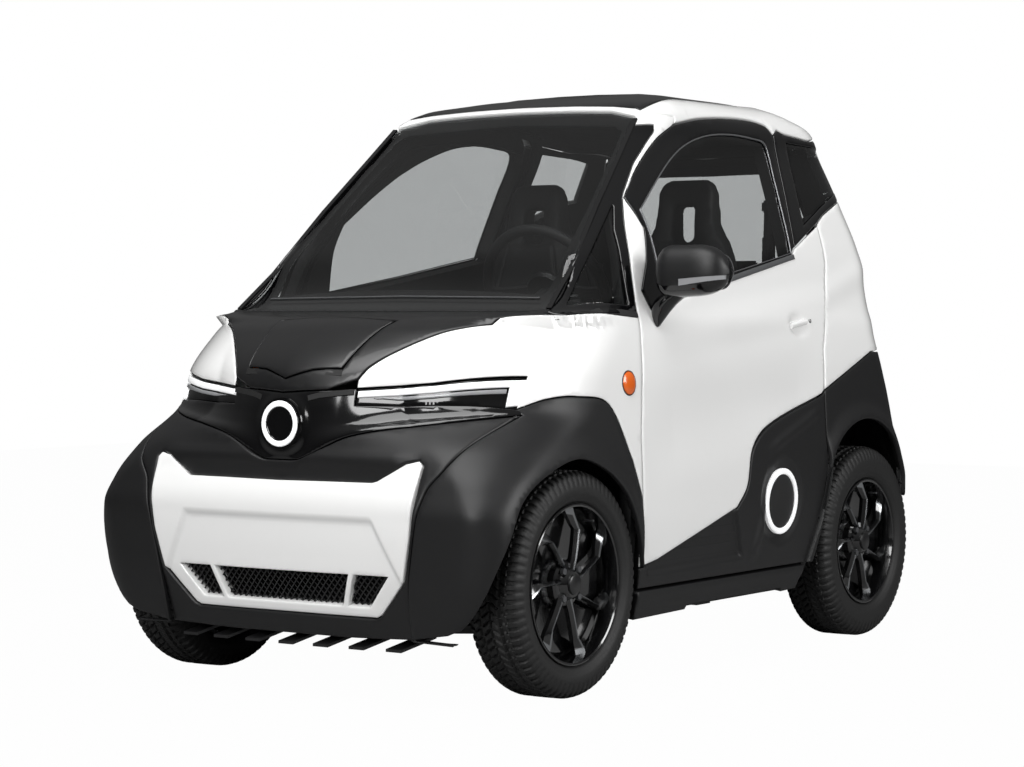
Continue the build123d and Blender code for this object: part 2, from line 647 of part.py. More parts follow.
boot_low = REAR_WELL_TOP + WHEELHOUSE_WALL + FIT
with BuildPart() as boot_floor:
    add(box_between((-FAR, 450, boot_low), (FAR, 1000, boot_low + BOOT_FLOOR)))
    add(box_between((-rear_rail, 450, FLOOR_TOP + FIT), (rear_rail, 462, boot_low + 1)))
    add(inside, mode=Mode.INTERSECT)
save(boot_floor.part, "boot_floor")

pack_low = FLOOR_TOP + FIT
with BuildPart() as battery_packs:
    for x in (-DRIVER_X, DRIVER_X):
        add(box_between((x - 205, -130, pack_low), (x + 205, 434, SEAT_LOW - FIT)))
save(battery_packs.part, "battery_packs")

with BuildPart() as seat_cushions:
    for x in (-DRIVER_X, DRIVER_X):
        with BuildSketch(Plane.YZ.offset(x - SEAT_WIDTH / 2)):
            with BuildLine():
                Polyline(*CUSHION_SIDE, close=True)
            make_face()
        extrude(amount=SEAT_WIDTH)
save(seat_cushions.part, "seat_cushions")

back_front = [(-SEAT_WIDTH / 2, SEAT_LOW), (-SEAT_WIDTH / 2, 900), (-SHOULDER_WIDTH / 2, 1100),
              (-HEADREST_WIDTH / 2, 1180), (-HEADREST_WIDTH / 2, 1400)]
with BuildPart() as seat_backs:
    for x in (-DRIVER_X, DRIVER_X):
        with BuildPart(mode=Mode.PRIVATE) as back:
            with BuildSketch(Plane.YZ.offset(x - SEAT_WIDTH / 2)):
                with BuildLine():
                    Polyline(*SEAT_BACK_SIDE, close=True)
                make_face()
            extrude(amount=SEAT_WIDTH)
            with BuildSketch(Plane.XZ):
                with BuildLine():
                    left = [(x + u, z) for u, z in back_front]
                    right = [(x - u, z) for u, z in reversed(back_front)]
                    Polyline(*left, *right, close=True)
                make_face()
            extrude(amount=FAR, both=True, mode=Mode.INTERSECT)
            with BuildSketch(Plane.XZ):
                with Locations((x, 1195)):
                    RectangleRounded(60, 96, 20)
            extrude(amount=FAR, both=True, mode=Mode.SUBTRACT)
        add(back.part)
save(seat_backs.part, "seat_backs")

column_way = Plane(
    origin=STEERING_CENTRE,
    x_dir=(1, 0, 0),
    z_dir=(0, -math.cos(math.radians(STEERING_TILT)), -math.sin(math.radians(STEERING_TILT))),
)
with BuildPart() as dashboard:
    with BuildSketch(Plane.YZ):
        with BuildLine():
            Polyline(*DASH_SIDE, close=True)
        make_face()
    extrude(amount=DASH_HALF_WIDTH, both=True)
    foot_low = FRONT_WELL_TOP + WHEELHOUSE_WALL + FIT
    for way in (-1, 1):
        foot_x, foot_y = way * DASH_FOOT[0], DASH_FOOT[1]
        add(box_between((foot_x - 20, foot_y - 20, foot_low), (foot_x + 20, foot_y + 20, 720)))
    with BuildSketch(column_way):
        Circle(COLUMN_R)
    extrude(amount=150)
    add(inside, mode=Mode.INTERSECT)
save(dashboard.part, "dashboard")

with BuildPart() as steering_wheel:
    with BuildSketch(Plane(origin=STEERING_CENTRE, x_dir=(1, 0, 0), z_dir=column_way.y_dir)):
        with Locations((STEERING_R, 0)):
            Circle(STEERING_RIM_R)
    revolve(axis=Axis(STEERING_CENTRE, column_way.z_dir))
    with BuildSketch(column_way.offset(-12)):
        Circle(58)
        with Locations((0, -STEERING_R / 2)):
            Rectangle(36, STEERING_R)
        with Locations((-STEERING_R / 2, 0), (STEERING_R / 2, 0)):
            Rectangle(STEERING_R, 30)
    extrude(amount=24)
    with BuildSketch(column_way.offset(-FIT)):
        Circle(COLUMN_R + FIT)
    extrude(amount=40, mode=Mode.SUBTRACT)
save(steering_wheel.part, "steering_wheel")


# ---- running gear ---------------------------------------------------------------------------------
def axle_plane(y, z):
    """Sketch plane whose first axis runs out along the axle and whose second is the radius."""
    return Plane(origin=(0, y, z), x_dir=(1, 0, 0), z_dir=(0, -1, 0))


def turned(y, z, outline):
    """An outline of (x, radius) points turned round an axle."""
    with BuildPart() as ring:
        with BuildSketch(axle_plane(y, z)):
            with BuildLine():
                Polyline(*outline, close=True)
            make_face()
        revolve(axis=Axis((0, y, z), (1, 0, 0)))
    return ring.part


def tyre_outline(tyre_r, rim_r):
    outer, inner = TYRE_FACE_X, TYRE_FACE_X - TYRE_WIDTH
    return [
        (inner + 14, rim_r), (inner, rim_r + 26), (inner, tyre_r - 38), (inner + 8, tyre_r - 14),
        (inner + 24, tyre_r - 2), (inner + 40, tyre_r), (outer - 40, tyre_r), (outer - 24, tyre_r - 2),
        (outer - 8, tyre_r - 14), (outer, tyre_r - 38), (outer, rim_r + 26), (outer - 14, rim_r),
    ]


def rim(y, tyre_r, rim_r):
    """Barrel, hub and spoked face of one left-hand wheel."""
    outer, inner = TYRE_FACE_X - 14, TYRE_FACE_X - TYRE_WIDTH + 14
    face = outer - 34
    hollow = rim_r - RIM_WALL
    with BuildPart() as wheel:
        add(turned(y, tyre_r, [(inner, hollow), (inner, rim_r), (outer, rim_r), (outer, hollow)]))
        add(turned(y, tyre_r, [(520, STUB_R + FIT), (520, HUB_R), (outer - 12, HUB_R - 8), (outer - 12, 0),
                               (560, 0), (560, STUB_R + FIT)]))
        with BuildSketch(Plane(origin=(face, y, tyre_r), x_dir=(0, 1, 0), z_dir=(1, 0, 0))):
            with PolarLocations(0, SPOKES):
                with Locations(((HUB_R + hollow) / 2 - 4, 0)):
                    Rectangle(hollow - HUB_R + 20, 36)
        extrude(amount=16)
    with BuildPart() as disc:
        add(turned(y, tyre_r, [(507, STUB_R + FIT), (507, DISC_R), (519, DISC_R), (519, STUB_R + FIT)]))
        add(turned(y, tyre_r, [(507, STUB_R + FIT), (507, 60), (520, 60), (520, STUB_R + FIT)]))
    with BuildPart() as whole:
        add(wheel.part)
        add(disc.part)
    return whole.part


for corner, axle_y, tyre_r, rim_r in (
    ("front", FRONT_AXLE_Y, FRONT_TYRE_R, FRONT_RIM_R), ("rear", REAR_AXLE_Y, REAR_TYRE_R, REAR_RIM_R),
):
    tyre = turned(axle_y, tyre_r, tyre_outline(tyre_r, rim_r + FIT))
    wheel_rim = rim(axle_y, tyre_r, rim_r)
    for side, turn in (("left", lambda part: part), ("right", opposite)):
        save(turn(tyre), f"tyre_{corner}_{side}")
        save(turn(wheel_rim), f"rim_{corner}_{side}")

pin_low, pin_high = FRONT_TYRE_R - 105.0, FRONT_TYRE_R + 105.0
PIN_R = 8.0
with BuildPart() as front_knuckle:
    add(box_between((KINGPIN_X - 18, FRONT_AXLE_Y - 28, pin_low),
                    (KINGPIN_X + 14, FRONT_AXLE_Y + 28, pin_high)))
    add(box_between((KINGPIN_X - 18, FRONT_AXLE_Y, FRONT_TYRE_R - 60),
                    (KINGPIN_X, FRONT_AXLE_Y + 110, FRONT_TYRE_R - 30)))
    add(turned(FRONT_AXLE_Y, FRONT_TYRE_R, [(KINGPIN_X, 0), (KINGPIN_X, STUB_R), (559, STUB_R), (559, 0)]))
    with BuildSketch(Plane.XY.offset(pin_low)):
        with Locations((KINGPIN_X, FRONT_AXLE_Y)):
            Circle(PIN_R + FIT)
    extrude(amount=22, mode=Mode.SUBTRACT)
    with BuildSketch(Plane.XY.offset(pin_high - 22)):
        with Locations((KINGPIN_X, FRONT_AXLE_Y)):
            Circle(PIN_R + FIT)
    extrude(amount=22, mode=Mode.SUBTRACT)
for side, turn in (("left", lambda part: part), ("right", opposite)):
    save(turn(front_knuckle.part), f"knuckle_{side}")

arm_root = FRONT_WELL_X + FIT
with BuildPart() as front_arms:
    for low, high, pin_from, pin_to in (
        (pin_low - 20, pin_low - FIT, pin_low - 10, pin_low + 21),
        (pin_high + FIT, pin_high + 18, pin_high - 21, pin_high + 9),
    ):
        with BuildSketch(Plane.XY.offset(low)):
            with BuildLine():
                Polyline(
                    (arm_root, FRONT_AXLE_Y - 150), (arm_root, FRONT_AXLE_Y + 150),
                    (KINGPIN_X + 12, FRONT_AXLE_Y + 16), (KINGPIN_X + 12, FRONT_AXLE_Y - 16), close=True,
                )
            make_face()
            with BuildLine():
                Polyline(
                    (arm_root + 26, FRONT_AXLE_Y - 88), (arm_root + 26, FRONT_AXLE_Y + 88),
                    (KINGPIN_X - 70, FRONT_AXLE_Y + 14), (KINGPIN_X - 70, FRONT_AXLE_Y - 14), close=True,
                )
            make_face(mode=Mode.SUBTRACT)
        extrude(amount=high - low)
        with BuildSketch(Plane.XY.offset(pin_from)):
            with Locations((KINGPIN_X, FRONT_AXLE_Y)):
                Circle(PIN_R)
        extrude(amount=pin_to - pin_from)
    with BuildSketch(Plane.XY.offset(pin_high + 18)):
        with Locations((DAMPER_X, DAMPER_Y)):
            Circle(DAMPER_R)
    extrude(amount=FRONT_WELL_TOP - pin_high - 18 - FIT)
save(both_sides(front_arms.part), "front_suspension")

beam_end = TYRE_FACE_X - TYRE_WIDTH - 8
with BuildPart() as rear_axle:
    add(turned(REAR_AXLE_Y, REAR_TYRE_R, [(-beam_end, 0), (-beam_end, BEAM_R), (beam_end, BEAM_R),
                                          (beam_end, 0)]))
    for way in (-1, 1):
        add(turned(REAR_AXLE_Y, REAR_TYRE_R, [(way * 442, 0), (way * 442, DRUM_R), (way * 503, DRUM_R),
                                              (way * 503, STUB_R), (way * 559, STUB_R), (way * 559, 0)]))
        add(box_between((way * 330 - 20, 470, FLOOR_TOP + 35),
                        (way * 330 + 20, REAR_AXLE_Y, FLOOR_TOP + 80)))
        add(box_between((way * 330 - 26, 463, FLOOR_TOP + FIT), (way * 330 + 26, 510, FLOOR_TOP + 60)))
        with BuildSketch(Plane.XY.offset(REAR_TYRE_R)):
            with Locations((way * 300, REAR_AXLE_Y)):
                Circle(SPRING_R)
        extrude(amount=boot_low - FIT - REAR_TYRE_R)
save(rear_axle.part, "rear_suspension")
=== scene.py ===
"""Looks of the two-seat microcar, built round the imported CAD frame.

Lengths are in millimetres from the car's mid plane, with the nose at -y and the ground at z 0.
"""

import json
import math

import bpy
import bmesh
import numpy as np
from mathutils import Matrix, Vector
from mathutils.geometry import delaunay_2d_cdt

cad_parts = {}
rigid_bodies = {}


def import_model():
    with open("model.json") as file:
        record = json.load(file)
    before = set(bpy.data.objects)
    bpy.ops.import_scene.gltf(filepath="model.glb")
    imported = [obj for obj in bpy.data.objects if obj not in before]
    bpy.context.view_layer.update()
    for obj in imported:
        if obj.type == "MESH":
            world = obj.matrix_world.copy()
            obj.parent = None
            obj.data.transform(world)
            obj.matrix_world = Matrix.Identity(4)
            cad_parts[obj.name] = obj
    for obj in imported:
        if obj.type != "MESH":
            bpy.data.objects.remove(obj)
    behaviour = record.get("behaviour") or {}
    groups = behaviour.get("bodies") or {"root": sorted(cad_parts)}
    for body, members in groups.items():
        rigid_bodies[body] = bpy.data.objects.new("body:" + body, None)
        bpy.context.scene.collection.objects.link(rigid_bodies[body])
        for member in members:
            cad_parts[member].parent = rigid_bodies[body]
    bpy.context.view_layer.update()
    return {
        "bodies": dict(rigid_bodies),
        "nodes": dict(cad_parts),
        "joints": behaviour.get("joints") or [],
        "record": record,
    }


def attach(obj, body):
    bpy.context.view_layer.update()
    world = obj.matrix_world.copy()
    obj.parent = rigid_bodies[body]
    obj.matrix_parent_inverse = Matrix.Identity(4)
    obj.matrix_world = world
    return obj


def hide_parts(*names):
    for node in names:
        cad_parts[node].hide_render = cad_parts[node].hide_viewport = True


for leftover in list(bpy.data.objects):
    bpy.data.objects.remove(leftover)
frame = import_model()

MM = 0.001
SIDE_SHIFT = -83.5  # from the car's mid plane to the middle of the whole box
GAP = 2.0  # half of the gap at a panel seam
FRONT_AXLE = (-736.0, 277.0)  # y and height, which is the tyre's radius
REAR_AXLE = (808.0, 274.0)
FRONT_RIM_R, REAR_RIM_R = 197.0, 180.0
SEAT_X = 255.0  # middle of a seat and of the steering wheel
STEERING_TILT = math.radians(25)
STEERING_AXIS = np.array([0.0, math.cos(STEERING_TILT), math.sin(STEERING_TILT)])
STEERING_CENTRE = np.array([SEAT_X, -330.0, 985.0])
TINY = 1e-9

# Horizontal sections of the body. Columns: height, half width; then nose centre y, corner x and y,
# and the y where the corner meets the side; then the same four for the tail.
LEVELS = np.array([
    (150, 588, -1085, 480, -1070, -950, 1090, 440, 1078, 950),
    (230, 600, -1108, 500, -1092, -985, 1125, 450, 1110, 965),
    (320, 610, -1130, 520, -1112, -1010, 1140, 470, 1122, 985),
    (450, 618, -1142, 540, -1122, -1040, 1142, 470, 1125, 990),
    (520, 617, -1128, 520, -1105, -980, 1134, 468, 1114, 965),
    (600, 614, -1112, 430, -1080, -850, 1118, 460, 1095, 930),
    (700, 608, -1108, 300, -1020, -640, 1098, 450, 1070, 900),
    (779, 603, -1090, 280, -1010, -600, 1080, 440, 1045, 870),
    (882, 590, -975, 300, -920, -500, 1058, 420, 1020, 840),
    (908, 585, -925, 300, -875, -480, 1054, 420, 1018, 840),
    (925, 580, -860, 400, -800, -600, 1052, 420, 1016, 840),
    (940, 575, -700, 499, -692, -460, 1050, 420, 1014, 840),
    (1096, 543, -520, 466, -512, -300, 1026, 410, 1000, 850),
    (1253, 492, -346, 435, -337, -150, 985, 380, 958, 820),
    (1400, 440, -180, 406, -172, -20, 948, 340, 920, 790),
    (1456, 425, -118, 394, -110, 20, 925, 320, 900, 770),
    (1500, 396, -62, 340, -45, 80, 810, 310, 780, 650),
    (1528, 340, 55, 270, 70, 170, 690, 255, 665, 540),
    (1546, 270, 145, 200, 158, 230, 580, 190, 560, 450),
    (1557, 170, 235, 120, 243, 295, 480, 115, 465, 390),
    (1561.5, 60, 305, 40, 308, 335, 400, 40, 395, 365),
], float)
STEP = 0.5  # height between the worked-out sections
MID_Y = 200.0  # parts the nose half of a section from its tail half
CROWN_FALL = 3.0  # depth gained for each millimetre below the top of the roof
PROBE = 1.5  # distance over which a slope is measured
CAST_FROM, CAST_TO, CAST_STEP, CAST_HALVINGS = -2200.0, 600.0, 16.0, 22
CHUNK = 4000  # points measured at a time


# ---- body surface --------------------------------------------------------------------------------
def unit(vectors):
    """The same directions at length 1."""
    vectors = np.array(vectors, float)
    return vectors / np.maximum(np.linalg.norm(vectors, axis=-1, keepdims=True), TINY)


def blend(t, a, slope_a, b, slope_b):
    """A cubic from a to b that leaves and arrives with the given slopes."""
    return (
        (2 * t**3 - 3 * t**2 + 1) * a + (t**3 - 2 * t**2 + t) * slope_a
        + (3 * t**2 - 2 * t**3) * b + (t**3 - t**2) * slope_b
    )


def smooth_columns():
    """Every column of LEVELS at each half millimetre of height, by a monotone cubic."""
    z = LEVELS[:, 0]
    grid = np.arange(z[0], z[-1] + STEP / 2, STEP)
    run = np.diff(z)
    rows = []
    for column in LEVELS.T[1:]:
        rise = np.diff(column) / run
        slope = np.zeros(len(z))
        slope[0], slope[-1] = rise[0], rise[-1]
        for i in range(1, len(z) - 1):
            if rise[i - 1] * rise[i] > 0:
                a, b = 2 * run[i] + run[i - 1], run[i] + 2 * run[i - 1]
                slope[i] = (a + b) / (a / rise[i - 1] + b / rise[i])
        i = np.clip(np.searchsorted(z, grid, "right") - 1, 0, len(run) - 1)
        t = (grid - z[i]) / run[i]
        rows.append(blend(t, column[i], run[i] * slope[i], column[i + 1], run[i] * slope[i + 1]))
    return np.array(rows)


COLUMNS = smooth_columns()


def depth(points):
    """How far inside the body each point is; negative outside."""
    x, y, z = np.abs(points[:, 0]), points[:, 1], points[:, 2]
    at = np.clip((z - LEVELS[0, 0]) / STEP, 0, COLUMNS.shape[1] - 1.001)
    low = at.astype(int)
    c = COLUMNS[:, low] + (COLUMNS[:, low + 1] - COLUMNS[:, low]) * (at - low)
    nose = y < MID_Y
    middle = np.where(nose, c[1], -c[5])
    bend_x = np.where(nose, c[2], c[6])
    bend_y = np.where(nose, c[3], -c[7])
    side_y = np.where(nose, c[4], -c[8])
    along_y = np.where(nose, y, -y)
    across, along = c[0] - bend_x, side_y - bend_y
    radius = (across**2 + along**2) / (2 * across)
    centre = c[0] - radius
    vx, vy = x - centre, along_y - side_y
    front = np.arctan2(vx, -vy) < np.arctan2(bend_x - centre, side_y - bend_y)
    face = along_y - (middle + (bend_y - middle) * (x / bend_x) ** 2)
    bend = radius - np.hypot(vx, vy)
    inside = np.where(vy >= 0, c[0] - x, np.where(front, face, bend))
    return np.minimum(inside, (LEVELS[-1, 0] - z) * CROWN_FALL)


def slope_at(points):
    out = np.empty_like(points)
    for axis in range(3):
        step = np.zeros(3)
        step[axis] = PROBE
        out[:, axis] = (depth(points + step) - depth(points - step)) / (2 * PROBE)
    return out


def normals_at(points):
    return unit(-slope_at(points))


def normal_at(point):
    return normals_at(point[None])[0]


def settle(points):
    """Moves points near the body surface onto it."""
    points = points.copy()
    for _ in range(4):
        g = slope_at(points)
        size = np.maximum((g**2).sum(1), 1e-6)
        move = np.clip(depth(points) / size, -6, 6)
        points -= g * move[:, None]
    return points


def cast(points, way):
    """Where rays from far outside, through the points along way, first meet the body."""
    way = unit(way)
    base = points - way * ((points @ way)[:, None])
    near = np.full(len(points), np.nan)
    for t in np.arange(CAST_FROM, CAST_TO, CAST_STEP):
        hit = np.isnan(near) & (depth(base + way * t) > 0)
        near[hit] = t
    near = np.where(np.isnan(near), 0.0, near)
    low, high = near - CAST_STEP, near
    for _ in range(CAST_HALVINGS):
        middle = (low + high) / 2
        hit = depth(base + way * middle[:, None]) > 0
        high = np.where(hit, middle, high)
        low = np.where(hit, low, middle)
    return base + way * high[:, None]


def on_side(points):
    return cast(np.array([(0.0, y, z) for y, z in points]), (-1, 0, 0))


def on_nose(points):
    return cast(np.array([(x, 0.0, z) for x, z in points]), (0, 1, 0))


def on_tail(points):
    return cast(np.array([(x, 0.0, z) for x, z in points]), (0, -1, 0))


def on_top(points):
    return cast(np.array([(x, y, 0.0) for x, y in points]), (0, 0, -1))


# ---- curves --------------------------------------------------------------------------------------
def curve(points, sharp=(), count=8):
    """A smooth line through the points, with corners kept at the sharp ones."""
    points = np.array(points, float)
    keep = {0, len(points) - 1} | {s % len(points) for s in sharp}
    out = []
    for i in range(len(points) - 1):
        a, b = points[i], points[i + 1]
        before = a - (b - a) if i in keep else points[i - 1]
        after = b + (b - a) if i + 1 in keep else points[i + 2]
        size = np.linalg.norm(b - a)
        ta = (b - before) / max(np.linalg.norm(a - before) + size, TINY) * size
        tb = (after - a) / max(np.linalg.norm(after - b) + size, TINY) * size
        for t in np.arange(count) / count:
            out.append(blend(t, a, ta, b, tb))
    out.append(points[-1])
    return [tuple(p) for p in out]


def flip(points):
    """The same points on the other side of the car, in the opposite order."""
    points = np.array(points, float)[::-1].copy()
    points[:, 0] *= -1
    return points


def whole(half):
    """A symmetric loop from the half that runs from the mid plane round to the mid plane."""
    other = flip(half)
    return np.vstack([half, other[1:-1] if abs(half[0][0]) < 1e-6 else other])


def resample(loop, step):
    """Even points round a closed loop, its corners kept."""
    loop = np.array(loop, float)
    keep = np.linalg.norm(loop - np.roll(loop, 1, axis=0), axis=1) > 0.3
    loop = loop[keep]
    out = []
    for a, b in zip(loop, np.roll(loop, -1, axis=0)):
        n = max(1, int(round(np.linalg.norm(b - a) / step)))
        out.extend(a + (b - a) * k / n for k in range(n))
    return np.array(out)


def inside_polygon(points, polygon):
    x, y = points[:, 0], points[:, 1]
    result = np.zeros(len(points), bool)
    for (x0, y0), (x1, y1) in zip(polygon, np.roll(polygon, -1, axis=0)):
        if y0 == y1:
            continue
        crossing = (y0 > y) != (y1 > y)
        result ^= crossing & (x < (x1 - x0) * (y - y0) / (y1 - y0) + x0)
    return result


def inward(loop, normals):
    """Direction in the surface from each loop point into the panel; the loop runs anticlockwise."""
    na = np.cross(normals, unit(np.roll(loop, -1, axis=0) - loop))
    nb = np.cross(normals, unit(loop - np.roll(loop, 1, axis=0)))
    total = unit(na + nb)
    stretch = 1 / np.clip((total * na).sum(1), 0.5, 1)
    return total * stretch[:, None]


def soften(distance, width):
    """1 at distance 0, falling smoothly to 0 at width."""
    t = np.clip(1 - distance / width, 0, 1)
    return t * t * (3 - 2 * t)


def join(*lines):
    return np.vstack([np.array(line, float) for line in lines])


# ---- meshes --------------------------------------------------------------------------------------
def make(name, points, faces, materials, kinds=None, sharp=(), smooth=True):
    """A mesh object; kinds gives each face its place in the list of materials."""
    mesh = bpy.data.meshes.new(name)
    spots = (np.array(points, float) + (SIDE_SHIFT, 0, 0)) * MM
    mesh.from_pydata(spots.tolist(), [], [tuple(f) for f in faces])
    for material in materials:
        mesh.materials.append(material)
    if kinds is not None:
        mesh.polygons.foreach_set("material_index", np.array(kinds, np.int32))
    mesh.polygons.foreach_set("use_smooth", [smooth] * len(mesh.polygons))
    if len(sharp):
        wanted = {tuple(sorted(pair)) for pair in sharp}
        attribute = mesh.attributes.new("sharp_edge", "BOOLEAN", "EDGE")
        keys = np.array([tuple(sorted(e.vertices)) for e in mesh.edges])
        attribute.data.foreach_set("value", [tuple(k) in wanted for k in keys.tolist()])
    mesh.update()
    obj = bpy.data.objects.new(name, mesh)
    bpy.context.collection.objects.link(obj)
    return obj


def place(obj, body, slot_name, stands_for=None):
    """Hangs a piece on its body; stands_for is the CAD node that it replaces."""
    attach(obj, body)
    if stands_for:
        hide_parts(stands_for)
    return obj


def face_out(obj):
    """Turns every face of a closed mesh outwards."""
    mesh = bmesh.new()
    mesh.from_mesh(obj.data)
    bmesh.ops.recalc_face_normals(mesh, faces=mesh.faces)
    mesh.to_mesh(obj.data)
    mesh.free()
    return obj


def crisp(obj, degrees=32):
    """Turns every face outwards and keeps the sharper edges."""
    face_out(obj).data.set_sharp_from_angle(angle=math.radians(degrees))
    return obj


def solid(name, piece, material, body, slot_name, stands_for=None, degrees=32):
    return place(crisp(make(name, *piece, [material]), degrees), body, slot_name, stands_for)


def pair(name, piece, materials, bodies, slot_name, stand_for=(None, None), kinds=None, sharp=()):
    """The same piece on the left and, mirrored, on the right, each riding its own body."""
    points, faces = np.array(piece[0], float), piece[1]
    left = make(f"{name}_left", points, faces, materials, kinds, sharp)
    right = make(f"{name}_right", points * (-1, 1, 1), [f[::-1] for f in faces], materials, kinds, sharp)
    return [place(obj, body, slot_name, old) for obj, body, old in zip((left, right), bodies, stand_for)]


def solid_pair(name, piece, material, bodies, slot_name, stand_for=(None, None), degrees=32):
    for obj in pair(name, piece, [material], bodies, slot_name, stand_for):
        crisp(obj, degrees)


def both_sides(points, faces, sharp=()):
    """A piece together with its mirror image across the car."""
    shift = len(points)
    points = np.vstack([points, np.array(points) * (-1, 1, 1)])
    faces = list(faces) + [tuple(k + shift for k in f[::-1]) for f in faces]
    return points, faces, list(sharp) + [(a + shift, b + shift) for a, b in sharp]


def merge(*pieces):
    """One list of points and faces from several."""
    points, faces = [], []
    for p, f in pieces:
        start = len(points)
        points += [tuple(q) for q in p]
        faces += [tuple(k + start for k in face) for face in f]
    return points, faces


def moved(piece, *shift):
    """A piece shifted by a vector."""
    return [tuple(np.array(p) + shift) for p in piece[0]], piece[1]


# ---- plain shapes --------------------------------------------------------------------------------
def square_to(axis):
    """A direction square to the axis."""
    return unit(np.cross((0, 0, 1) if abs(axis[2]) < 0.9 else (1, 0, 0), axis))


def circle(count):
    return [2 * math.pi * i / count for i in range(count)]


def turned(outline, segments, spot, ring=False):
    """An outline of (radius, height) turned once round; spot places one point of it."""
    points, index = [], []
    for radius, height in outline:
        if radius == 0:
            index.append([len(points)] * segments)
            points.append(spot(0.0, height, 0.0))
        else:
            index.append(list(range(len(points), len(points) + segments)))
            points += [spot(radius, height, a) for a in circle(segments)]
    faces = []
    for a, b in list(zip(index, index[1:])) + ([(index[-1], index[0])] if ring else []):
        for i in range(segments):
            j = (i + 1) % segments
            face = tuple(dict.fromkeys((a[i], b[i], b[j], a[j])))
            if len(face) > 2:
                faces.append(face)
    return points, faces


def lathe(centre, axis, outline, segments=56, ring=False):
    """An outline of (radius, height) turned round an axis through the centre."""
    u = square_to(axis)
    v = np.cross(axis, u)

    def spot(radius, height, a):
        return centre + axis * height + radius * (u * math.cos(a) + v * math.sin(a))
    return turned(outline, segments, spot, ring)


def spun(outline, segments, ring=False):
    """An outline of (x, radius) turned round the x axis."""
    upright = [(radius, x) for x, radius in outline]
    return turned(upright, segments, lambda r, x, a: (x, r * math.sin(a), r * math.cos(a)), ring)


def lofted(rings):
    """Closed rings of equal length joined and capped."""
    count = len(rings[0])
    faces = []
    for start in range(0, (len(rings) - 1) * count, count):
        for i in range(count):
            j = (i + 1) % count
            faces.append((start + i, start + j, start + count + j, start + count + i))
    last = (len(rings) - 1) * count
    faces += [tuple(range(count))[::-1], tuple(last + i for i in range(count))]
    return [tuple(p) for ring in rings for p in ring], faces


def tube(line, radius, sides=10, closed=False):
    """A round bar along a line."""
    line = np.array(line, float)
    n = len(line)
    ahead = np.roll(line, -1, axis=0) - np.roll(line, 1, axis=0) if closed else np.gradient(line, axis=0)
    ahead = unit(ahead)
    u = -square_to(ahead[0])
    rings = []
    for p, a in zip(line, ahead):
        u = unit(u - a * (u @ a))
        v = np.cross(a, u)
        rings.append([p + radius * (u * math.cos(t) + v * math.sin(t)) for t in circle(sides)])
    points, faces = lofted(rings)
    if closed:
        last = (n - 1) * sides
        turns = [(k, (k + 1) % sides) for k in range(sides)]
        faces = faces[:-2] + [(last + a, last + b, b, a) for a, b in turns]
    return points, faces


def band(line, side, up, width, rise, drop):
    """A flat bar along a line: half its width to each side, from rise above the line to drop below it."""
    rings = []
    for p, s, n in zip(np.array(line, float), side * width / 2, up):
        rings.append([p + s + n * rise, p - s + n * rise, p - s - n * drop, p + s - n * drop])
    return lofted(rings)


def strip(name, line, width, thick, lift, finish, mirrored=False):
    """A flat strip laid along a line on the body surface; finish: its material and a slot name, which is
    not used.
    """
    up = normals_at(line)
    side = np.cross(up, unit(np.gradient(line, axis=0)))
    piece = band(line, side, up, width, lift, thick - lift)
    if mirrored:
        piece = both_sides(*piece)[:2]
    return solid(name, piece, finish[0], "body", finish[1])


def block(low, high, cut=3.0):
    """A box with its edges cut back."""
    low, high = np.array(low, float), np.array(high, float)
    cut = min(cut, *((high - low) / 2.2))
    mesh = bmesh.new()
    bmesh.ops.create_cube(mesh, size=1.0)
    for v in mesh.verts:
        v.co = Vector(tuple((low + high) / 2 + np.array(v.co) * (high - low)))
    bmesh.ops.bevel(mesh, geom=mesh.edges[:], offset=cut, segments=2, affect="EDGES")
    mesh.verts.index_update()
    points = [tuple(v.co) for v in mesh.verts]
    faces = [tuple(v.index for v in f.verts) for f in mesh.faces]
    mesh.free()
    return points, faces


def slab(outline, axis, low, high):
    """A plate: an outline of two coordinates pushed along the third (1 y, 2 z)."""
    return lofted(
        [[np.insert(np.array(p, float), axis, h) for p in outline] for h in (float(low), float(high))]
    )


# ---- body panels ---------------------------------------------------------------------------------
def in_panel(points, flats):
    """Which flat points lie inside the outline and outside its holes."""
    inside = inside_polygon(points, flats[0])
    for hole in flats[1:]:
        inside &= ~inside_polygon(points, hole)
    return inside


def distance_to(points, border):
    """Distance of each point from the nearest point of the border."""
    away = np.empty(len(points))
    for k in range(0, len(points), CHUNK):
        away[k:k + CHUNK] = np.linalg.norm(points[k:k + CHUNK, None] - border[None], axis=2).min(1)
    return away


def fill(flats, step):
    """Triangles inside an outline and its holes; the loops' own points come first."""
    border = np.vstack(flats)
    lo, hi = flats[0].min(0), flats[0].max(0)
    across, up = (np.linspace(lo[k], hi[k], max(2, int((hi[k] - lo[k]) / step)) + 1) for k in (0, 1))
    gx, gy = np.meshgrid(across, up)
    grid = np.stack([gx.ravel(), gy.ravel()], 1)
    grid = grid[in_panel(grid, flats)]
    grid = grid[distance_to(grid, border) > step * 0.45]
    edges, start = [], 0
    for flat in flats:
        n = len(flat)
        edges += [(start + i, start + (i + 1) % n) for i in range(n)]
        start += n
    spots = [Vector(p) for p in np.vstack([border, grid])]
    verts, _, faces, _, _, _ = delaunay_2d_cdt(spots, edges, [], 0, 1e-4)
    verts = np.array([tuple(p) for p in verts])
    faces = [list(f) for f in faces if len(f) == 3]
    centres = np.array([verts[f].mean(0) for f in faces])
    return verts, [f for f, good in zip(faces, in_panel(centres, flats)) if good]


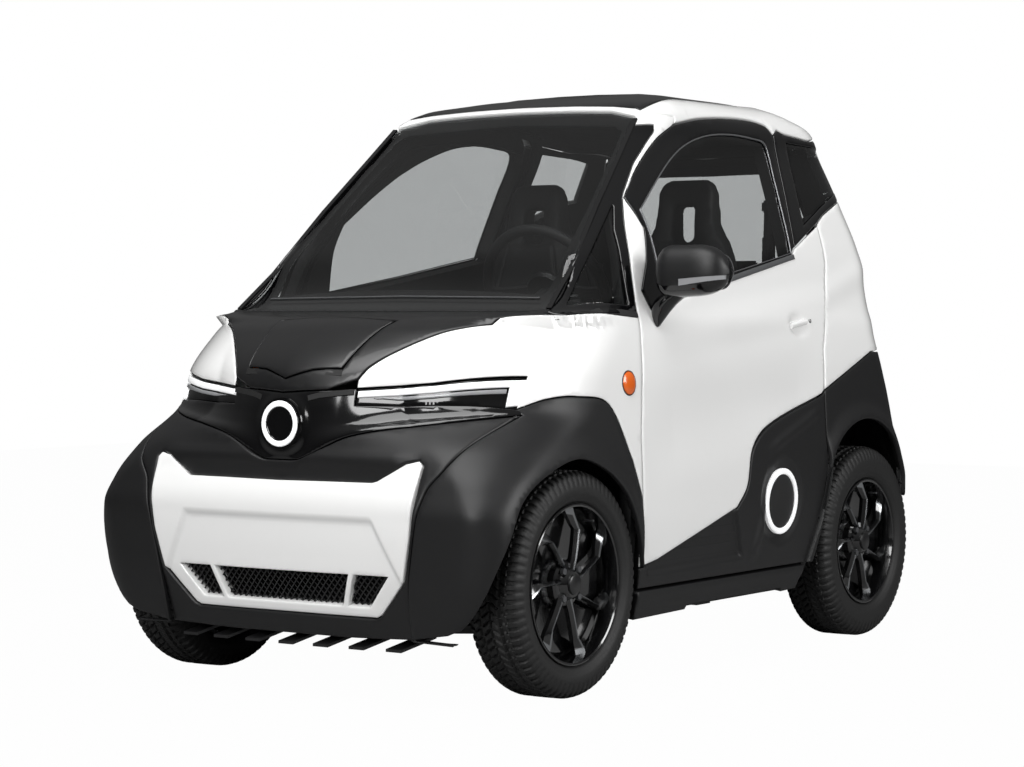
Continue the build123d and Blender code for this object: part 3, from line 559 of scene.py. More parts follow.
def panel(loops, way, step=14.0, deep=14.0, edge=3.0, gap=GAP, inset=0.0, relief=None, mirrored=False):
    """Points, faces, face kinds and sharp edges of one body panel.

    loops: its outline and then its holes, as points on the body surface. way: a direction from
    which the whole panel is seen. step: size of its triangles. deep: its thickness. edge: radius
    of its turned rim. inset: how far it lies under the body surface, and relief adds to its height
    from point to point. Kinds: 0 outer face and rim, 1 inner face.
    """
    way = unit(way)
    u = unit(np.cross(way, (0.0, 0.0, 1.0) if abs(way[2]) < 0.9 else (0.0, 1.0, 0.0)))
    basis = np.stack([u, np.cross(u, way)], 1)
    rings = []
    for index, loop in enumerate(loops):
        loop = resample(loop, step)
        x, y = (loop @ basis).T
        area = (x * np.roll(y, -1) - y * np.roll(x, -1)).sum()
        if (area > 0) != (index == 0):
            loop = loop[::-1]
        side = inward(loop, normals_at(loop))
        rings.append([settle(loop + side * (gap + edge * s)) for s in (1.0, 0.3, 0.0)])
    tops = [ring[0] for ring in rings]
    verts, faces = fill([top @ basis for top in tops], step)
    known = sum(len(top) for top in tops)
    surface = np.vstack(tops + [cast(verts[known:] @ basis.T, way)])
    outer = []
    for f in faces:
        a, b, c = surface[f]
        outer.append(tuple(f) if np.cross(b - a, c - a) @ way < 0 else tuple(f[::-1]))
    normals = normals_at(surface)
    bulge = np.zeros(len(surface)) if relief is None else relief(surface)
    points = [surface + normals * (bulge - inset)[:, None]]
    rim, sharp, last = [], [], []
    count, start = len(surface), 0
    for ring in rings:
        n = len(ring[0])
        rows = [list(range(start, start + n))]
        lift = bulge[start:start + n] - inset
        for spots, down in ((ring[1], 0.3 * edge), (ring[2], edge), (ring[2], deep)):
            points.append(spots + normals[start:start + n] * (lift - down)[:, None])
            rows.append(list(range(count, count + n)))
            count += n
        for a, b in zip(rows, rows[1:]):
            rim += [(b[i], b[(i + 1) % n], a[(i + 1) % n], a[i]) for i in range(n)]
        low = rows[-1]
        sharp += [(low[i], low[(i + 1) % n]) for i in range(n)]
        last += low
        start += n
    # the inner face is the same triangles, its border on the last ring
    sunk = np.minimum(bulge[known:], 0) - inset - deep
    points.append(surface[known:] + normals[known:] * sunk[:, None])
    last += range(count, count + len(surface) - known)
    inner = [tuple(last[k] for k in f[::-1]) for f in outer]
    points, faces = np.vstack(points), outer + rim + inner
    kinds = [0] * (len(outer) + len(rim)) + [1] * len(inner)
    if mirrored:
        points, faces, sharp = both_sides(points, faces, sharp)
        kinds = kinds * 2
    return points, faces, kinds, sharp


def add_panel(name, loops, way, finish, stands_for=None, body="body", **shape):
    """A panel on one body; finish: its outer material, inner material and a slot name, which is not used.
    """
    points, faces, kinds, sharp = panel(loops, way, **shape)
    return place(make(name, points, faces, finish[:2], kinds, sharp), body, finish[2], stands_for)


DOORS = ("door_left", "door_right")


def door_panel(name, loops, finish, stand_for=(None, None), **shape):
    """A panel on both doors."""
    points, faces, kinds, sharp = panel(loops, (-1, 0, 0), **shape)
    pair(name, (points, faces), finish[:2], DOORS, finish[2], stand_for, kinds, sharp)


# ---- materials -----------------------------------------------------------------------------------
def linear(code):
    """A web colour such as 'F2F2F0' as linear RGBA."""
    parts = [int(code[i:i + 2], 16) / 255 for i in (0, 2, 4)]
    return tuple(p / 12.92 if p <= 0.04045 else ((p + 0.055) / 1.055) ** 2.4 for p in parts) + (1.0,)


def node(tree, kind, links=None, **settings):
    """Adds a node; settings set its properties or, by socket name, its inputs; links wire its inputs."""
    made = tree.nodes.new(kind)
    for key, value in settings.items():
        name = key.replace("_", " ")
        if hasattr(made, key) and not callable(getattr(made, key)):
            setattr(made, key, value)
        else:
            made.inputs[name].default_value = value
    for key, source in (links or {}).items():
        tree.links.new(source, made.inputs[key])
    return made


def finish_of(name, colour, roughness, metallic=0.0, ior=1.5, coat=0.0, grain=None, **extra):
    """A surface finish. grain: (scale, height in metres, share by which it varies the roughness)."""
    material = bpy.data.materials.new(name)
    material.use_nodes = True
    tree = material.node_tree
    shader = tree.nodes["Principled BSDF"]
    shader.inputs["Base Color"].default_value = linear(colour)
    shader.inputs["Roughness"].default_value = roughness
    shader.inputs["Metallic"].default_value = metallic
    shader.inputs["IOR"].default_value = ior
    shader.inputs["Coat Weight"].default_value = coat
    shader.inputs["Coat Roughness"].default_value = 0.04
    for key, value in extra.items():
        shader.inputs[key.replace("_", " ")].default_value = value
    if grain:
        scale, height, vary = grain
        position = node(tree, "ShaderNodeTexCoord").outputs["Object"]
        noise = node(tree, "ShaderNodeTexNoise", {"Vector": position}, Scale=scale, Detail=3.0)
        spread = node(
            tree, "ShaderNodeMapRange", {"Value": noise.outputs["Fac"]},
            To_Min=roughness * (1 - vary), To_Max=min(1.0, roughness * (1 + vary)),
        )
        tree.links.new(spread.outputs["Result"], shader.inputs["Roughness"])
        bump = node(tree, "ShaderNodeBump", {"Height": noise.outputs["Fac"]}, Distance=height, Strength=0.6)
        tree.links.new(bump.outputs["Normal"], shader.inputs["Normal"])
    return material


# lacquer under clear coat: bright and even, with soft highlights on the folds
WHITE = finish_of("white_lacquer", "F1F1F0", 0.22, coat=0.9, grain=(9.0, 0.00002, 0.12))
# polished moulding: deep black that mirrors what is round it
GLOSS = finish_of("gloss_black", "050506", 0.1, coat=0.3, grain=(7.0, 0.00001, 0.2))
# grained cladding: a broad, dull sheen that shows its roll and recess
SATIN = finish_of("satin_black_cladding", "101011", 0.46, ior=1.45, grain=(900.0, 0.00012, 0.12))
# half-matt lacquer: a wide, milky highlight on the bonnet
BONNET_BLACK = finish_of("satin_black_lacquer", "0D0D0E", 0.34, coat=0.15, grain=(30.0, 0.00002, 0.1))
# roof lacquer: darker, with a smaller highlight
ROOF_BLACK = finish_of("roof_black_lacquer", "060607", 0.3, coat=0.1, grain=(12.0, 0.00001, 0.15))
# grained cabin moulding: almost no highlight
CABIN = finish_of("cabin_moulding", "0B0B0C", 0.62, ior=1.46, grain=(500.0, 0.0003, 0.15))
# tread rubber: dull, a little paler where light grazes it
RUBBER = finish_of("tyre_rubber", "0B0B0B", 0.6, grain=(260.0, 0.0002, 0.2))
# soft seal: the dullest black, which reads as a gap; ahead of the bonnet flap it is painted shade for the
# shadow in that gap
SEAL_AND_GAP_SHADE_BLACK = finish_of("rubber_seal_and_gap_shade", "0A0A0A", 0.7, ior=1.52, grain=(300.0, 0.0001, 0.15))
# turned steel: a bright disc behind the spokes
STEEL = finish_of("bright_steel", "B8B9BB", 0.28, metallic=1.0, grain=(120.0, 0.00002, 0.25))
# raw casting: grey and rough
CAST = finish_of("cast_metal", "6B6C6E", 0.5, metallic=1.0, grain=(160.0, 0.0002, 0.25))
# powder coat: black with a soft, slightly pebbled sheen
CHASSIS = finish_of("black_powder_coat", "111112", 0.48, grain=(420.0, 0.0002, 0.15))
# wheel lacquer: black with sharp highlights along the spokes
WHEEL_BLACK = finish_of("black_alloy_lacquer", "0B0B0C", 0.14, coat=0.8, grain=(40.0, 0.00001, 0.2))
# cut alloy: pale grey lines on the spoke faces
WHEEL_CUT = finish_of("machined_alloy", "8E9092", 0.22, metallic=1.0, grain=(600.0, 0.00002, 0.3))
# satin metal trim: a thin pale line round the window; across the screen's foot the same grey is a painted
# highlight
TRIM_AND_HIGHLIGHT_GREY = finish_of("grey_trim_and_highlight", "8A8B8D", 0.3, metallic=0.8, grain=(200.0, 0.00002, 0.2))
# light guide: milky white, faintly bright by itself; the badge ring, the door rings and the blank plate,
# which are no lamps, take the same glow as painted glow
LAMP_AND_PAINTED_GLOW_WHITE = finish_of(
    "light_guide", "F6F7F8", 0.25, grain=(60.0, 0.00002, 0.1), Emission_Color=linear("FFFFFF"),
    Emission_Strength=0.25,
)
# amber lens: a clear orange spot on the wing
AMBER = finish_of("amber_lens", "E0641A", 0.18, coat=0.5, grain=(500.0, 0.0002, 0.1))
# red lens: dark red with a sharp highlight
RED = finish_of("red_lens", "8E0C0C", 0.14, coat=0.6, grain=(400.0, 0.0001, 0.1))
# smoked lens: mid grey, set off from the black round it
INDICATOR = finish_of("smoked_indicator", "8C8D8F", 0.2, coat=0.4, grain=(500.0, 0.0001, 0.1))
# seat cover: black cloth without highlights
SEAT = finish_of("seat_cover", "0A0A0B", 0.6, ior=1.48, grain=(700.0, 0.0003, 0.2))
# belt webbing: a dull woven band
BELT = finish_of("belt_webbing", "101011", 0.75, grain=(1500.0, 0.0002, 0.1))
# battery case: dark grey moulding
PACK = finish_of("battery_case", "2A2B2D", 0.5, grain=(350.0, 0.0002, 0.15))
# coated floor steel: near black and uneven
FLOOR_STEEL = finish_of("coated_floor_steel", "161617", 0.55, grain=(200.0, 0.0003, 0.2))
GLASS_IOR = 1.52


def glass(name, tint):
    """Tinted sheet glass: a clear tinted pass-through with the mirror reflection of its faces."""
    material = bpy.data.materials.new(name)
    material.use_nodes = True
    tree = material.node_tree
    tree.nodes.clear()
    # only the face turned to the eye mirrors, or the far face would reflect everything past 41 degrees
    fresnel = node(tree, "ShaderNodeFresnel", IOR=GLASS_IOR)
    behind = node(tree, "ShaderNodeNewGeometry").outputs["Backfacing"]
    ahead = node(tree, "ShaderNodeMath", {1: behind}, operation="SUBTRACT")
    ahead.inputs[0].default_value = 1.0
    sheen = node(tree, "ShaderNodeMath", {0: fresnel.outputs[0], 1: ahead.outputs[0]}, operation="MULTIPLY")
    clear = node(tree, "ShaderNodeBsdfTransparent", Color=linear(tint))
    shine = node(tree, "ShaderNodeBsdfGlossy", Color=(1, 1, 1, 1), Roughness=0.0)
    mix = node(tree, "ShaderNodeMixShader", {0: sheen.outputs[0], 1: clear.outputs[0], 2: shine.outputs[0]})
    node(tree, "ShaderNodeOutputMaterial", {"Surface": mix.outputs[0]})
    return material


GLASS = glass("tinted_glass", "E6E7E7")

# outer material, inner material and slot of the panels
WHITE_SKIN = (WHITE, CABIN, "body_white")
CLADDING = (SATIN, CABIN, "trim_black")
GLOSS_SKIN = (GLOSS, CABIN, "gloss_black")
GREY_TRIM = (TRIM_AND_HIGHLIGHT_GREY, CABIN, "gloss_black")
BONNET_SKIN = (BONNET_BLACK, CABIN, "roof_black")
RED_LENS = (RED, CABIN, "lamp_red")
PRINT = (GLOSS, GLOSS, "gloss_black")
PANE = (GLASS, GLASS, "tinted_glass")
LINING = (CABIN, CABIN, "cabin_plastic")


# ---- lines shared by neighbouring panels ---------------------------------------------------------
# points are (y, height) on a side, (x, height) on the nose and the tail, (x, y) on the top
DOOR_FRONT = [(-443, 293), (-443, 620), (-405, 925)]
PILLAR_LOW = curve([(-405, 925), (-386, 1063), (-356, 1145), (-308, 1227)])
PILLAR_HIGH = curve([(-308, 1227), (-208, 1312), (-84, 1394), (20, 1440)])
POST = [(-303, 1234), (-286, 1150), (-317, 1063), (-360, 990), (-330, 939)]
DOOR_TOP = curve([(20, 1440), (185, 1466), (419, 1478), (540, 1466), (573, 1440)])
RUNNER = [(-72, 1434), (-78, 1415), (-122, 1385), (-207, 1324), (-292, 1245)]
DOOR_REAR = curve([(573, 1440), (560, 1370), (500, 1116)])
HOOK = [(500, 1116), (680, 1186)]
DOOR_BACK = curve([(680, 1186), (669, 1079), (562, 829), (550, 716)], sharp=(1, 2))
DOOR_HEEL = curve([(550, 716), (549, 605), (556, 500), (528, 409), (470, 290), (446, 238)])
CLADDING_LINE = curve([
    (-443, 293), (-358, 307), (37, 416), (92, 470), (124, 566), (212, 625), (533, 705), (550, 716),
], sharp=(1, 2))
BELT_LINE = [(-330, 939), (96, 1027), (470, 1093), (500, 1116)]
ARCH_LINE = curve(
    [(-867, 706), (-800, 726), (-717, 731), (-584, 707), (-487, 567), (-443, 470)], sharp=(4,),
)
FRONT_OPEN = curve([
    (-443, 293), (-458, 350), (-492, 425), (-540, 490), (-625, 547), (-745, 580), (-880, 551), (-992, 492),
    (-1046, 400), (-1072, 290), (-1080, 165),
])
REAR_OPEN = curve([
    (1027, 392), (1012, 470), (958, 560), (880, 610), (790, 628), (690, 612), (600, 560), (545, 470),
    (505, 330), (470, 240),
])
LAMP_TOP = [(190, 752), (360, 765), (531, 781)]
SEAM_LINE = curve([(540, 690), (509, 644), (471, 567), (434, 515), (395, 345), (381, 250), (378, 158)])
BAND_LOW = curve([(0, 578), (60, 582), (195, 640), (400, 672), (540, 690)])
COWL = [(541, -702), (432, -805), (324, -909), (190, -1055)]
HIP_LINE = [(550, 716), (700, 768), (851, 820)]
ROOF_REAR = [(600, 1456), (640, 1446), (780, 1434), (915, 1424)]
PILLAR_FOOT = [(918, 1267), (732, 1216), (690, 1195)]

bonnet_edge = on_top(curve(COWL))
arch_edge = on_side(ARCH_LINE)
lamp_low = on_nose([(190, 712), (527, 703)])
lamp_top = on_nose(LAMP_TOP)
seam_edge = on_nose(SEAM_LINE)
band_low = on_nose(BAND_LOW)
wing_back = on_side([(-405, 925), (-443, 620), (-443, 470)])
wing_top = on_side([(-690, 928), (-560, 933), (-405, 923)])


# ---- nose ----------------------------------------------------------------------------------------
def arch_relief(opening, reach, lift):
    """A lip that swells out towards the wheel opening."""
    border = np.array(opening, float)
    return lambda points: lift * soften(distance_to(points[:, 1:], border), reach)


def build_nose():
    wing = join(lamp_top[::-1], bonnet_edge[::-1], wing_top, wing_back[1:], arch_edge[::-1], lamp_low[-1:])
    add_panel(
        "front_wing_panels", [wing], (-0.55, 0.6, -0.55), (WHITE, WHITE, "body_white"), "front_wings",
        step=10, deep=2.5, edge=1.5, mirrored=True,
    )
    bottom = on_nose([(378, 158), (500, 160)])
    arch = join(
        seam_edge[:1], lamp_low[-1:], arch_edge, on_side([(-443, 300)]), on_side(FRONT_OPEN), bottom[::-1],
        seam_edge[::-1][1:-1],
    )
    add_panel(
        "front_arch_panels", [arch], (-0.72, 0.68, -0.15), CLADDING, "front_arches", step=12, deep=12,
        mirrored=True, gap=1.0, relief=arch_relief(FRONT_OPEN, 70, 13),
    )


build_nose()


def brow(points):
    """A shelf over the white face: it juts out above and lies back down to the face's upper edge."""
    x, z = np.abs(points[:, 0]), points[:, 2]
    middle = np.clip((400 - x) / 60, 0, 1)
    return (10 * soften(np.abs(z - 586), 30) - 9 * soften(np.abs(z - 536), 34)) * middle


def build_bumper():
    frame_half = join(band_low, seam_edge[1:], on_nose([(200, 152), (0, 152)]))
    insert_outline = [
        (0, 530), (282, 532), (296, 536), (366, 578), (400, 586), (412, 574), (405, 480), (396, 400),
        (372, 300), (330, 254), (290, 212), (275, 205), (0, 205),
    ]
    insert_half = on_nose(insert_outline)
    add_panel(
        "bumper_frame", [whole(frame_half), whole(insert_half)], (0, 1, -0.1), CLADDING, "front_bumper",
        step=13, deep=20, gap=1.0, edge=6.0, relief=brow,
    )
    slot_low, slot_high = 232, 308

    def slot_hole(left_low, right_low, left_high, right_high):
        low = [(left_low, slot_low), (right_low, slot_low)]
        return on_nose(low + [(right_high, slot_high), (left_high, slot_high)])

    holes = [
        slot_hole(-178, 178, -206, 206), slot_hole(196, 258, 224, 322), slot_hole(-258, -196, -322, -224),
    ]

    def face_relief(points):
        """The face below the brow lies back inside a trapezoid; its upper edge folds out."""
        x, z = np.abs(points[:, 0]), points[:, 2]
        inner = np.minimum(448 - z, 368 - (z - 300) * 0.52 - x)
        fold = 5 * soften(np.abs(z - 500), 60)
        return fold - 8 * np.clip(inner / 12, 0, 1)

    add_panel(
        "bumper_face", [whole(insert_half)] + holes, (0, 1, 0), WHITE_SKIN, "bumper_insert", step=7,
        deep=26, gap=1.0, edge=3.5, inset=-2.0, relief=face_relief,
    )
    # crossed bars of the intake, curved with the nose and set back in the slot
    spacing, foot, bar_wide, bar_thick, reach = 18.0, 220, 3.2, 4, 338
    bars = []
    for way, back in ((-1, 23), (1, 20)):
        for k in range(-34, 35):
            line = [(k * spacing + way * (z - foot) * 0.9, z) for z in range(foot, 321, 20)]
            line = [p for p in line if abs(p[0]) < reach]
            if len(line) > 1:
                at = on_nose(line)
                up = normals_at(at)
                side = np.cross(up, unit(at[-1] - at[0]))
                bars.append(band(at, side, up, bar_wide, -back, back + bar_thick))
    place(make("intake_mesh", *merge(*bars), [SATIN], smooth=False), "body", "mesh_black", "lower_grille")


def build_band():
    band_half = join(
        band_low, on_nose([(540, 703), (527, 703), (190, 712), (190, 752), (120, 748), (0, 740)]),
    )

    def ribs(points):
        """A channel sunk between the lamps, with a broad lip along its foot and a pod for the badge."""
        x, z = np.abs(points[:, 0]), points[:, 2]
        foot = np.interp(x, [0, 60, 195, 400, 540], [578, 582, 640, 672, 690])
        head = np.interp(x, [0, 120, 190, 540], [740, 748, 712, 703])
        share = (z - foot) / np.maximum(head - foot, 12)
        out = 6 * soften(np.abs(share - 0.14), 0.3) - 5
        fade = np.clip((x - 66) / 90, 0, 1) * np.clip((540 - x) / 80, 0, 1)
        return out * fade + 4 * soften(np.clip(np.hypot(x, z - 664) - 62, 0, 99), 26)

    add_panel(
        "nose_band_panel", [whole(band_half)], (0, 1, -0.12), GLOSS_SKIN, "nose_band", step=6, deep=18,
        gap=0.8, edge=2.0, relief=ribs,
    )
    strip(
        "band_slots", on_nose([(72, 728), (100, 735), (140, 740), (184, 744)]), 13, 4, 1.0,
        (SEAL_AND_GAP_SHADE_BLACK, "gloss_black"), mirrored=True,
    )
    # badge left bare: a white ring round a plain black disc; the ring glows faintly, a painted glow
    centre = on_nose([(0, 665)])[0]
    up = normal_at(centre)
    outline = [
        (0, 5.0), (40, 5.0), (41.5, 6.0), (42, 8.5), (43.5, 10), (54, 10), (56, 8), (57, 4), (63, 4),
        (65, 0), (65, -8), (0, -8),
    ]
    kinds = np.repeat([0, 0, 0, 1, 1, 1, 0, 0, 0, 0, 0], 64)
    badge = make("badge", *lathe(centre + up * 2, up, outline, 64), [GLOSS, LAMP_AND_PAINTED_GLOW_WHITE], kinds)
    place(crisp(badge), "body", "gloss_black")


# ---- bonnet, lamps and screen --------------------------------------------------------------------
def build_bonnet():
    front_edge = on_nose([(190, 752), (120, 748), (0, 740)])
    rear = on_nose([(0, 936), (492, 936)])
    outline = join(rear, bonnet_edge, front_edge[1:])
    flap_half = on_top([(0, -1092), (73, -1076), (145, -1058), (162, -975), (182, -886), (0, -886)])
    lid_half = on_top([(0, -1092), (73, -1076), (145, -1058), (162, -975), (180, -895), (0, -895)])

    def crease(points):
        """The middle stands up to a centre fold that fades towards the screen."""
        x, y = np.abs(points[:, 0]), points[:, 1]
        return 5 * np.clip(1 - x / 150, 0, 1) * np.clip((-y - 760) / 150, 0, 1)

    add_panel(
        "bonnet_panel", [whole(outline), whole(flap_half)], (0, 0.55, -0.85), BONNET_SKIN, "bonnet",
        step=10, deep=12, relief=crease, gap=1.6,
    )
    add_panel(
        "bonnet_flap_panel", [whole(lid_half)], (0, 0.55, -0.85), BONNET_SKIN, "bonnet_flap",
        body="bonnet_flap", step=9, deep=4, gap=1.2, edge=2.0, relief=lambda p: crease(p) + 2.5,
    )
    # a matt black lip set under the front edge of the flap: painted shade standing for the shadow in the
    # gap there
    lip = on_top([(x, -1099 + abs(x) * 0.24) for x in (-148, -110, -60, -20, 0, 20, 60, 110, 148)])
    strip("flap_gap_shade_strip", lip, 15, 4, 1.2, (SEAL_AND_GAP_SHADE_BLACK, "roof_black"))


def build_lamps():
    end = on_nose([(545, 783), (541, 703)])
    lamp = join(lamp_top, end, lamp_low[::-1])
    add_panel(
        "lamp_housing", [lamp], (-0.5, 0.85, -0.1), (GLOSS, CABIN, "lamp_clear"), "headlights", step=9,
        deep=30, gap=1.2, inset=9, edge=1.0, mirrored=True,
    )
    # light guide: a bar along the top of the lamp that turns down at its outer end
    bar = on_nose([
        (194, 746), (360, 759), (522, 773), (535, 774), (532, 713), (510, 710), (510, 757), (360, 743),
        (194, 731),
    ])
    add_panel(
        "light_guide", [bar], (-0.5, 0.85, -0.1), (LAMP_AND_PAINTED_GLOW_WHITE, CABIN, "lamp_clear"), step=7, deep=8,
        gap=0.2, edge=2.5, inset=1.5, mirrored=True,
    )
    teeth = on_nose([(230, 730), (360, 739), (506, 752), (506, 741), (360, 730), (300, 725)])
    add_panel(
        "lamp_lens", [teeth], (-0.5, 0.85, -0.1), (INDICATOR, CABIN, "lamp_clear"), step=8, deep=6,
        gap=0.2, edge=1.5, inset=3.0, mirrored=True,
    )


def build_screen():
    edge = on_nose([(492, 940), (473, 1040), (440, 1210), (412, 1350), (391, 1448), (380, 1456)])
    half = join(on_nose([(0, 940)]), edge, on_nose([(300, 1473), (180, 1479), (0, 1482)]))
    add_panel(
        "windscreen_glass", [whole(half)], (0, 1, -0.5), PANE, "windscreen", step=22, deep=5, gap=1.0,
        edge=1.0, inset=3.5,
    )
    # black border printed round the inside of the screen, wide at its foot
    clear = on_nose([
        (0, 1000), (150, 999), (330, 992), (424, 984), (436, 1040), (412, 1210), (384, 1350), (368, 1418),
        (340, 1432), (0, 1448),
    ])
    add_panel(
        "screen_border", [whole(half), whole(clear)], (0, 1, -0.5), PRINT, step=20, deep=2, gap=1.5,
        edge=0.5, inset=9.0,
    )
    # a thin pale grey strip across the screen's foot: painted highlight on the lower edge of the glass
    strip(
        "screen_foot_highlight", on_nose([(x, 977 - abs(x) * 0.012) for x in range(-430, 431, 43)]), 3.0, 2.0,
        0.3, (TRIM_AND_HIGHLIGHT_GREY, "gloss_black"),
    )
    strip(
        "cowl_strip", on_nose([(x, 937) for x in np.linspace(-500, 500, 21)]), 16, 8, 1.0,
        (SATIN, "gloss_black"),
    )


# ---- sides ---------------------------------------------------------------------------------------
def build_frames():
    # windscreen pillars with the small fixed window
    front = join(
        on_nose([(492, 938), (473, 1040), (440, 1210), (412, 1350), (398, 1428)]), on_side(RUNNER),
        on_side(PILLAR_LOW[::-1]), wing_top[::-1],
    )
    runner = join(
        on_nose([(398, 1428), (393, 1451)]),
        on_side([(-60, 1463), (30, 1458), (20, 1443)] + PILLAR_HIGH[::-1][1:]), on_side(RUNNER[::-1]),
    )
    add_panel(
        "roof_runners", [runner], (-0.8, 0.5, -0.3), WHITE_SKIN, step=10, deep=24, gap=0.6, edge=1.5,
        mirrored=True,
    )
    quarter = on_side([(-634, 954), (-436, 954), (-420, 1063), (-392, 1145), (-346, 1211)])
    add_panel(
        "front_pillars", [front, quarter], (-0.75, 0.6, -0.2), GLOSS_SKIN, "side_frames", step=7, deep=7,
        gap=1.4, mirrored=True,
    )
    strip(
        "screen_edge_trim", on_nose([(493, 944), (475, 1040), (442, 1210), (414, 1350), (394, 1446)]), 15,
        5, 2.2, (GLOSS, "gloss_black"), mirrored=True,
    )
    strip(
        "waist_seal", on_side([(-650, 934), (-560, 939), (-480, 935), (-408, 929)]), 15, 8, 1.6,
        (SEAL_AND_GAP_SHADE_BLACK, "gloss_black"), mirrored=True,
    )
    add_panel(
        "front_quarter_glass", [quarter], (-0.9, 0.3, -0.2), PANE, "fixed_side_windows", step=20, deep=5,
        gap=0.2, edge=0.8, inset=3.5, mirrored=True,
    )
    rear = join(
        on_side(DOOR_REAR[::-1]), on_side(ROOF_REAR),
        on_tail([(345, 1416), (392, 1253)]), on_side(PILLAR_FOOT + [(680, 1190)]),
    )
    glass_hole = on_side([(640, 1420), (880, 1404), (888, 1290), (735, 1240), (596, 1184)])
    add_panel(
        "rear_pillars", [rear, glass_hole], (-0.95, -0.3, -0.25), GLOSS_SKIN, step=12, deep=30, gap=1.4,
        mirrored=True,
    )
    add_panel(
        "rear_quarter_glass", [glass_hole], (-0.95, -0.3, -0.25), PANE, step=20, deep=5, gap=0.2,
        edge=0.8, inset=3.5, mirrored=True,
    )


def flatten(points):
    """The middle of the roof lies a little flatter than its rim."""
    across = np.clip(1 - (points[:, 0] / 372) ** 2, 0, 1)
    along = np.clip(1 - ((points[:, 1] - 370) / 470) ** 2, 0, 1)
    return -14 * np.sqrt(across * along)


def build_roof():
    rim = join(
        on_nose([(0, 1483), (180, 1480), (300, 1474), (380, 1457)]), on_nose([(393, 1452)]),
        on_side([(-60, 1463), (30, 1459)]), on_side(DOOR_TOP), on_side(ROOF_REAR),
        on_tail([(345, 1418), (200, 1418), (0, 1418)]),
    )
    sunroof = join(
        on_nose([(0, 1496), (180, 1493), (300, 1487), (360, 1480), (384, 1474)]),
        on_top(curve([(380, 10), (372, 88), (366, 200), (352, 560), (332, 700), (300, 765), (0, 790)])),
    )
    add_panel(
        "roof_shell", [whole(rim), whole(sunroof)], (0, -0.2, -1), WHITE_SKIN, "roof_frame", step=13,
        deep=30, gap=1.6, edge=4.0,
        relief=lambda p: 8 * soften(np.abs(p[:, 1] - 905), 60) * (p[:, 2] > 1420),
    )
    add_panel(
        "roof_centre", [whole(sunroof)], (0, 0, -1), (ROOF_BLACK, CABIN, "roof_black"), "roof_panel",
        step=16, deep=30, gap=1.6, inset=1.0, relief=flatten,
    )


def build_rear_side():
    strip(
        "tailgate_seal", on_tail([(x, 1417) for x in range(-340, 341, 40)]), 18, 3, -11,
        (SEAL_AND_GAP_SHADE_BLACK, "gloss_black"),
    )
    back = [(436, 820), (436, 960), (436, 1096), (412, 1180), (392, 1253)]
    lamp = on_tail([(446, 842), (446, 958), (548, 958), (556, 842)])
    quarter = join(
        on_side(HIP_LINE), on_tail([(560, 822)]), on_tail(back),
        on_side(PILLAR_FOOT), on_side(DOOR_BACK),
    )

    def shoulder(points):
        """A fold runs back along the shoulder and the skin below it lies in."""
        line = 1004 + (points[:, 1] - 700) * 0.28
        return 4 * soften(np.abs(points[:, 2] - line), 55)

    add_panel(
        "rear_quarter_panels", [quarter, lamp], (-0.8, -0.6, -0.1), WHITE_SKIN, "rear_quarters", step=12,
        deep=14, mirrored=True, relief=shoulder,
    )
    add_panel(
        "tail_lamp_lenses", [lamp], (-0.5, -0.85, 0), RED_LENS, "tail_lights", step=8, deep=20, gap=1.0,
        edge=3.0, mirrored=True,
    )
    arch = join(
        on_side(HIP_LINE), on_tail([(560, 820), (436, 818), (436, 642), (548, 640)]),
        on_side([(1027, 640)]), on_side(REAR_OPEN), on_side([(446, 240)]), on_side(DOOR_HEEL[::-1][1:]),
    )
    add_panel(
        "rear_arch_panels", [arch], (-0.8, -0.6, -0.05), CLADDING, "rear_arches", step=12, deep=12,
        mirrored=True, gap=1.2, relief=arch_relief(REAR_OPEN, 60, 13),
    )
    low = join(
        on_tail([(0, 636), (436, 636), (548, 636)]), on_side([(1030, 636), (1030, 394)]),
        on_tail([(470, 392), (0, 392)]),
    )
    add_panel(
        "rear_bumper_panel", [whole(low)], (0, -1, 0), CLADDING, "rear_bumper", step=16, deep=16, gap=1.4,
        edge=5.0, relief=lambda p: 4 * soften(np.abs(p[:, 2] - 520), 90),
    )


build_bumper()
build_band()
build_bonnet()
build_lamps()
build_screen()
build_frames()
build_roof()
build_rear_side()


# ---- doors ---------------------------------------------------------------------------------------
WINDOW = curve([
    (-255, 988), (-264, 1095), (-268, 1200), (-118, 1300), (18, 1369), (150, 1408), (290, 1424),
    (440, 1420), (508, 1404), (498, 1300), (470, 1102), (96, 1040), (-255, 988),
], sharp=(0, 2, 10, 11))[:-1]
RING_CENTRE = (285.0, 420.0)
HANDLE = (431.0, 900.0)


def door_folds(points):
    """Folds of the white skin: a shelf under the belt, a hollow over the cladding and a handle cup."""
    y, z = points[:, 1], points[:, 2]
    shelf = 905 + y * 0.10
    low = 640 + (y + 443) * 0.10
    fold = 5 * soften(np.abs(z - shelf), 70) * np.clip((y + 380) / 400, 0, 1)
    ends = np.clip((560 - y) / 160, 0, 1) * np.clip((y + 440) / 160, 0, 1)
    hollow = -6 * soften(np.abs(z - (low - 20)), 150) * ends
    cup = np.hypot((y - HANDLE[0]) / 58, (z - HANDLE[1]) / 32)
    return fold + hollow - 7 * np.clip((1.0 - cup) * 3.0, 0, 1)


